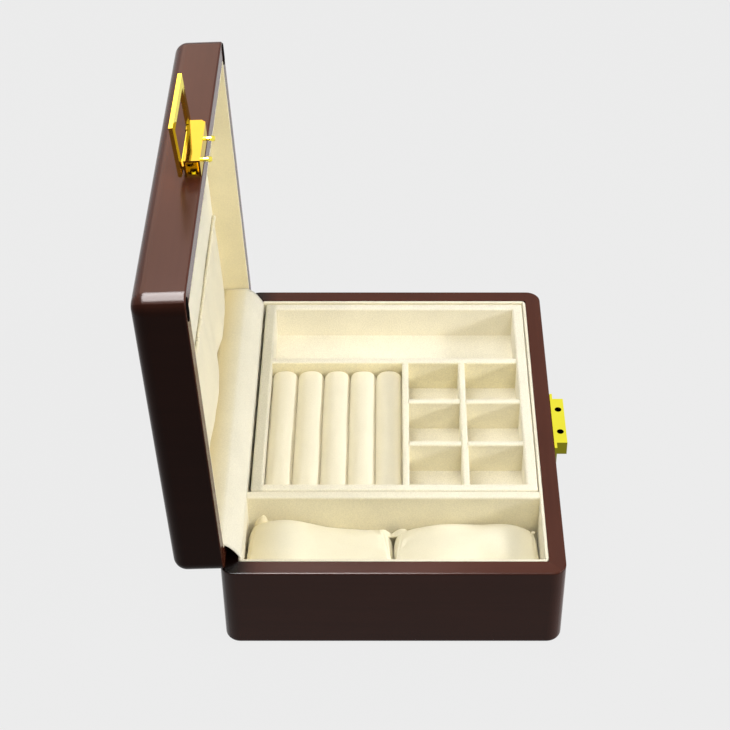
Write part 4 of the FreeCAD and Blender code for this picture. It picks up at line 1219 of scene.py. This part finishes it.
def make_floor():
    """A wide pale floor just under the felt, on its own stage."""
    mesh = bpy.data.meshes.new("floor")
    s, z = FLOOR_HALF, -FLOOR_SINK
    mesh.from_pydata([(-s, -s, z), (s, -s, z), (s, s, z), (-s, s, z)], [], [(0, 1, 2, 3)])
    obj = bpy.data.objects.new("floor", mesh)
    bpy.context.scene.collection.objects.link(obj)
    material, tree, shader = finish_material("pale_floor", Roughness=0.9, Specular_IOR_Level=0.0)
    shader.inputs["Base Color"].default_value = (FLOOR_GREY, FLOOR_GREY, FLOOR_GREY, 1)
    glow = add_node(tree, "Emission", Color=(BACKDROP, BACKDROP, BACKDROP, 1), Strength=1.0)
    share = add_node(tree, "Math", [(0, seen_directly(tree))], operation="MULTIPLY")
    share.inputs[1].default_value = FLOOR_GLOW
    mix = add_node(tree, "MixShader", [(0, share.outputs[0]), (1, shader.outputs[0]), (2, glow.outputs[0])])
    tree.links.new(mix.outputs[0], tree.nodes["Material Output"].inputs["Surface"])
    obj.data.materials.append(material)
    return obj


make_floor()
print("floor made,", 2 * FLOOR_HALF, "m across")

# %% Make the background
FILL = 0.03


def make_background():
    """White that gives little light of its own, but is seen as pale as the floor."""
    world = bpy.data.worlds.new("studio")
    bpy.context.scene.world = world
    world.use_nodes = True
    tree = world.node_tree
    shader = tree.nodes["Background"]
    shader.inputs["Color"].default_value = (1.0, 1.0, 1.0, 1)
    level = spread(tree, seen_directly(tree), FILL, BACKDROP)
    tree.links.new(level, shader.inputs["Strength"])


make_background()
print("background made")

# %% Hang the lamps
def softbox(name, place, aim, width, height, power, tint=(1, 1, 1), matt=True, gloss=True):
    """A rectangular lamp turned towards a point.

    Without matt it only shows in gloss, and without gloss it only lights matt surfaces.
    """
    data = bpy.data.lights.new(name, "AREA")
    data.shape = "RECTANGLE"
    data.size, data.size_y = width, height
    data.energy = power
    data.color = tint
    lamp = bpy.data.objects.new(name, data)
    bpy.context.scene.collection.objects.link(lamp)
    lamp.location = place
    lamp.visible_camera = False
    lamp.visible_diffuse = matt
    lamp.visible_glossy = gloss
    lamp.rotation_euler = (Vector(aim) - Vector(place)).to_track_quat("-Z", "Y").to_euler()
    return lamp


BOX_MIDDLE = (0, 0.02, 0.08)
LID_MIDDLE = (0, 0.11, 0.3)
WARM = (1.0, 0.97, 0.90)
AMBER = (1.0, 0.66, 0.50)
softbox("key", (0.28, 0.46, 1.25), (0.28, 0.46, 0), 1.5, 0.8, 13.8, gloss=False)
softbox("front", (-0.95, -0.30, 1.2), BOX_MIDDLE, 0.6, 0.4, 8.0, tint=WARM, gloss=False)
softbox("side", (-0.30, -1.2, 0.58), BOX_MIDDLE, 0.5, 0.20, 13.0)
softbox("shine", (0.13, 0.28, 1.26), (0.13, 0.28, 0), 1.25, 0.65, 120.0, matt=False)
softbox("back", (1.25, 0.60, 1.08), LID_MIDDLE, 0.80, 0.75, 4.6, tint=AMBER, matt=False)
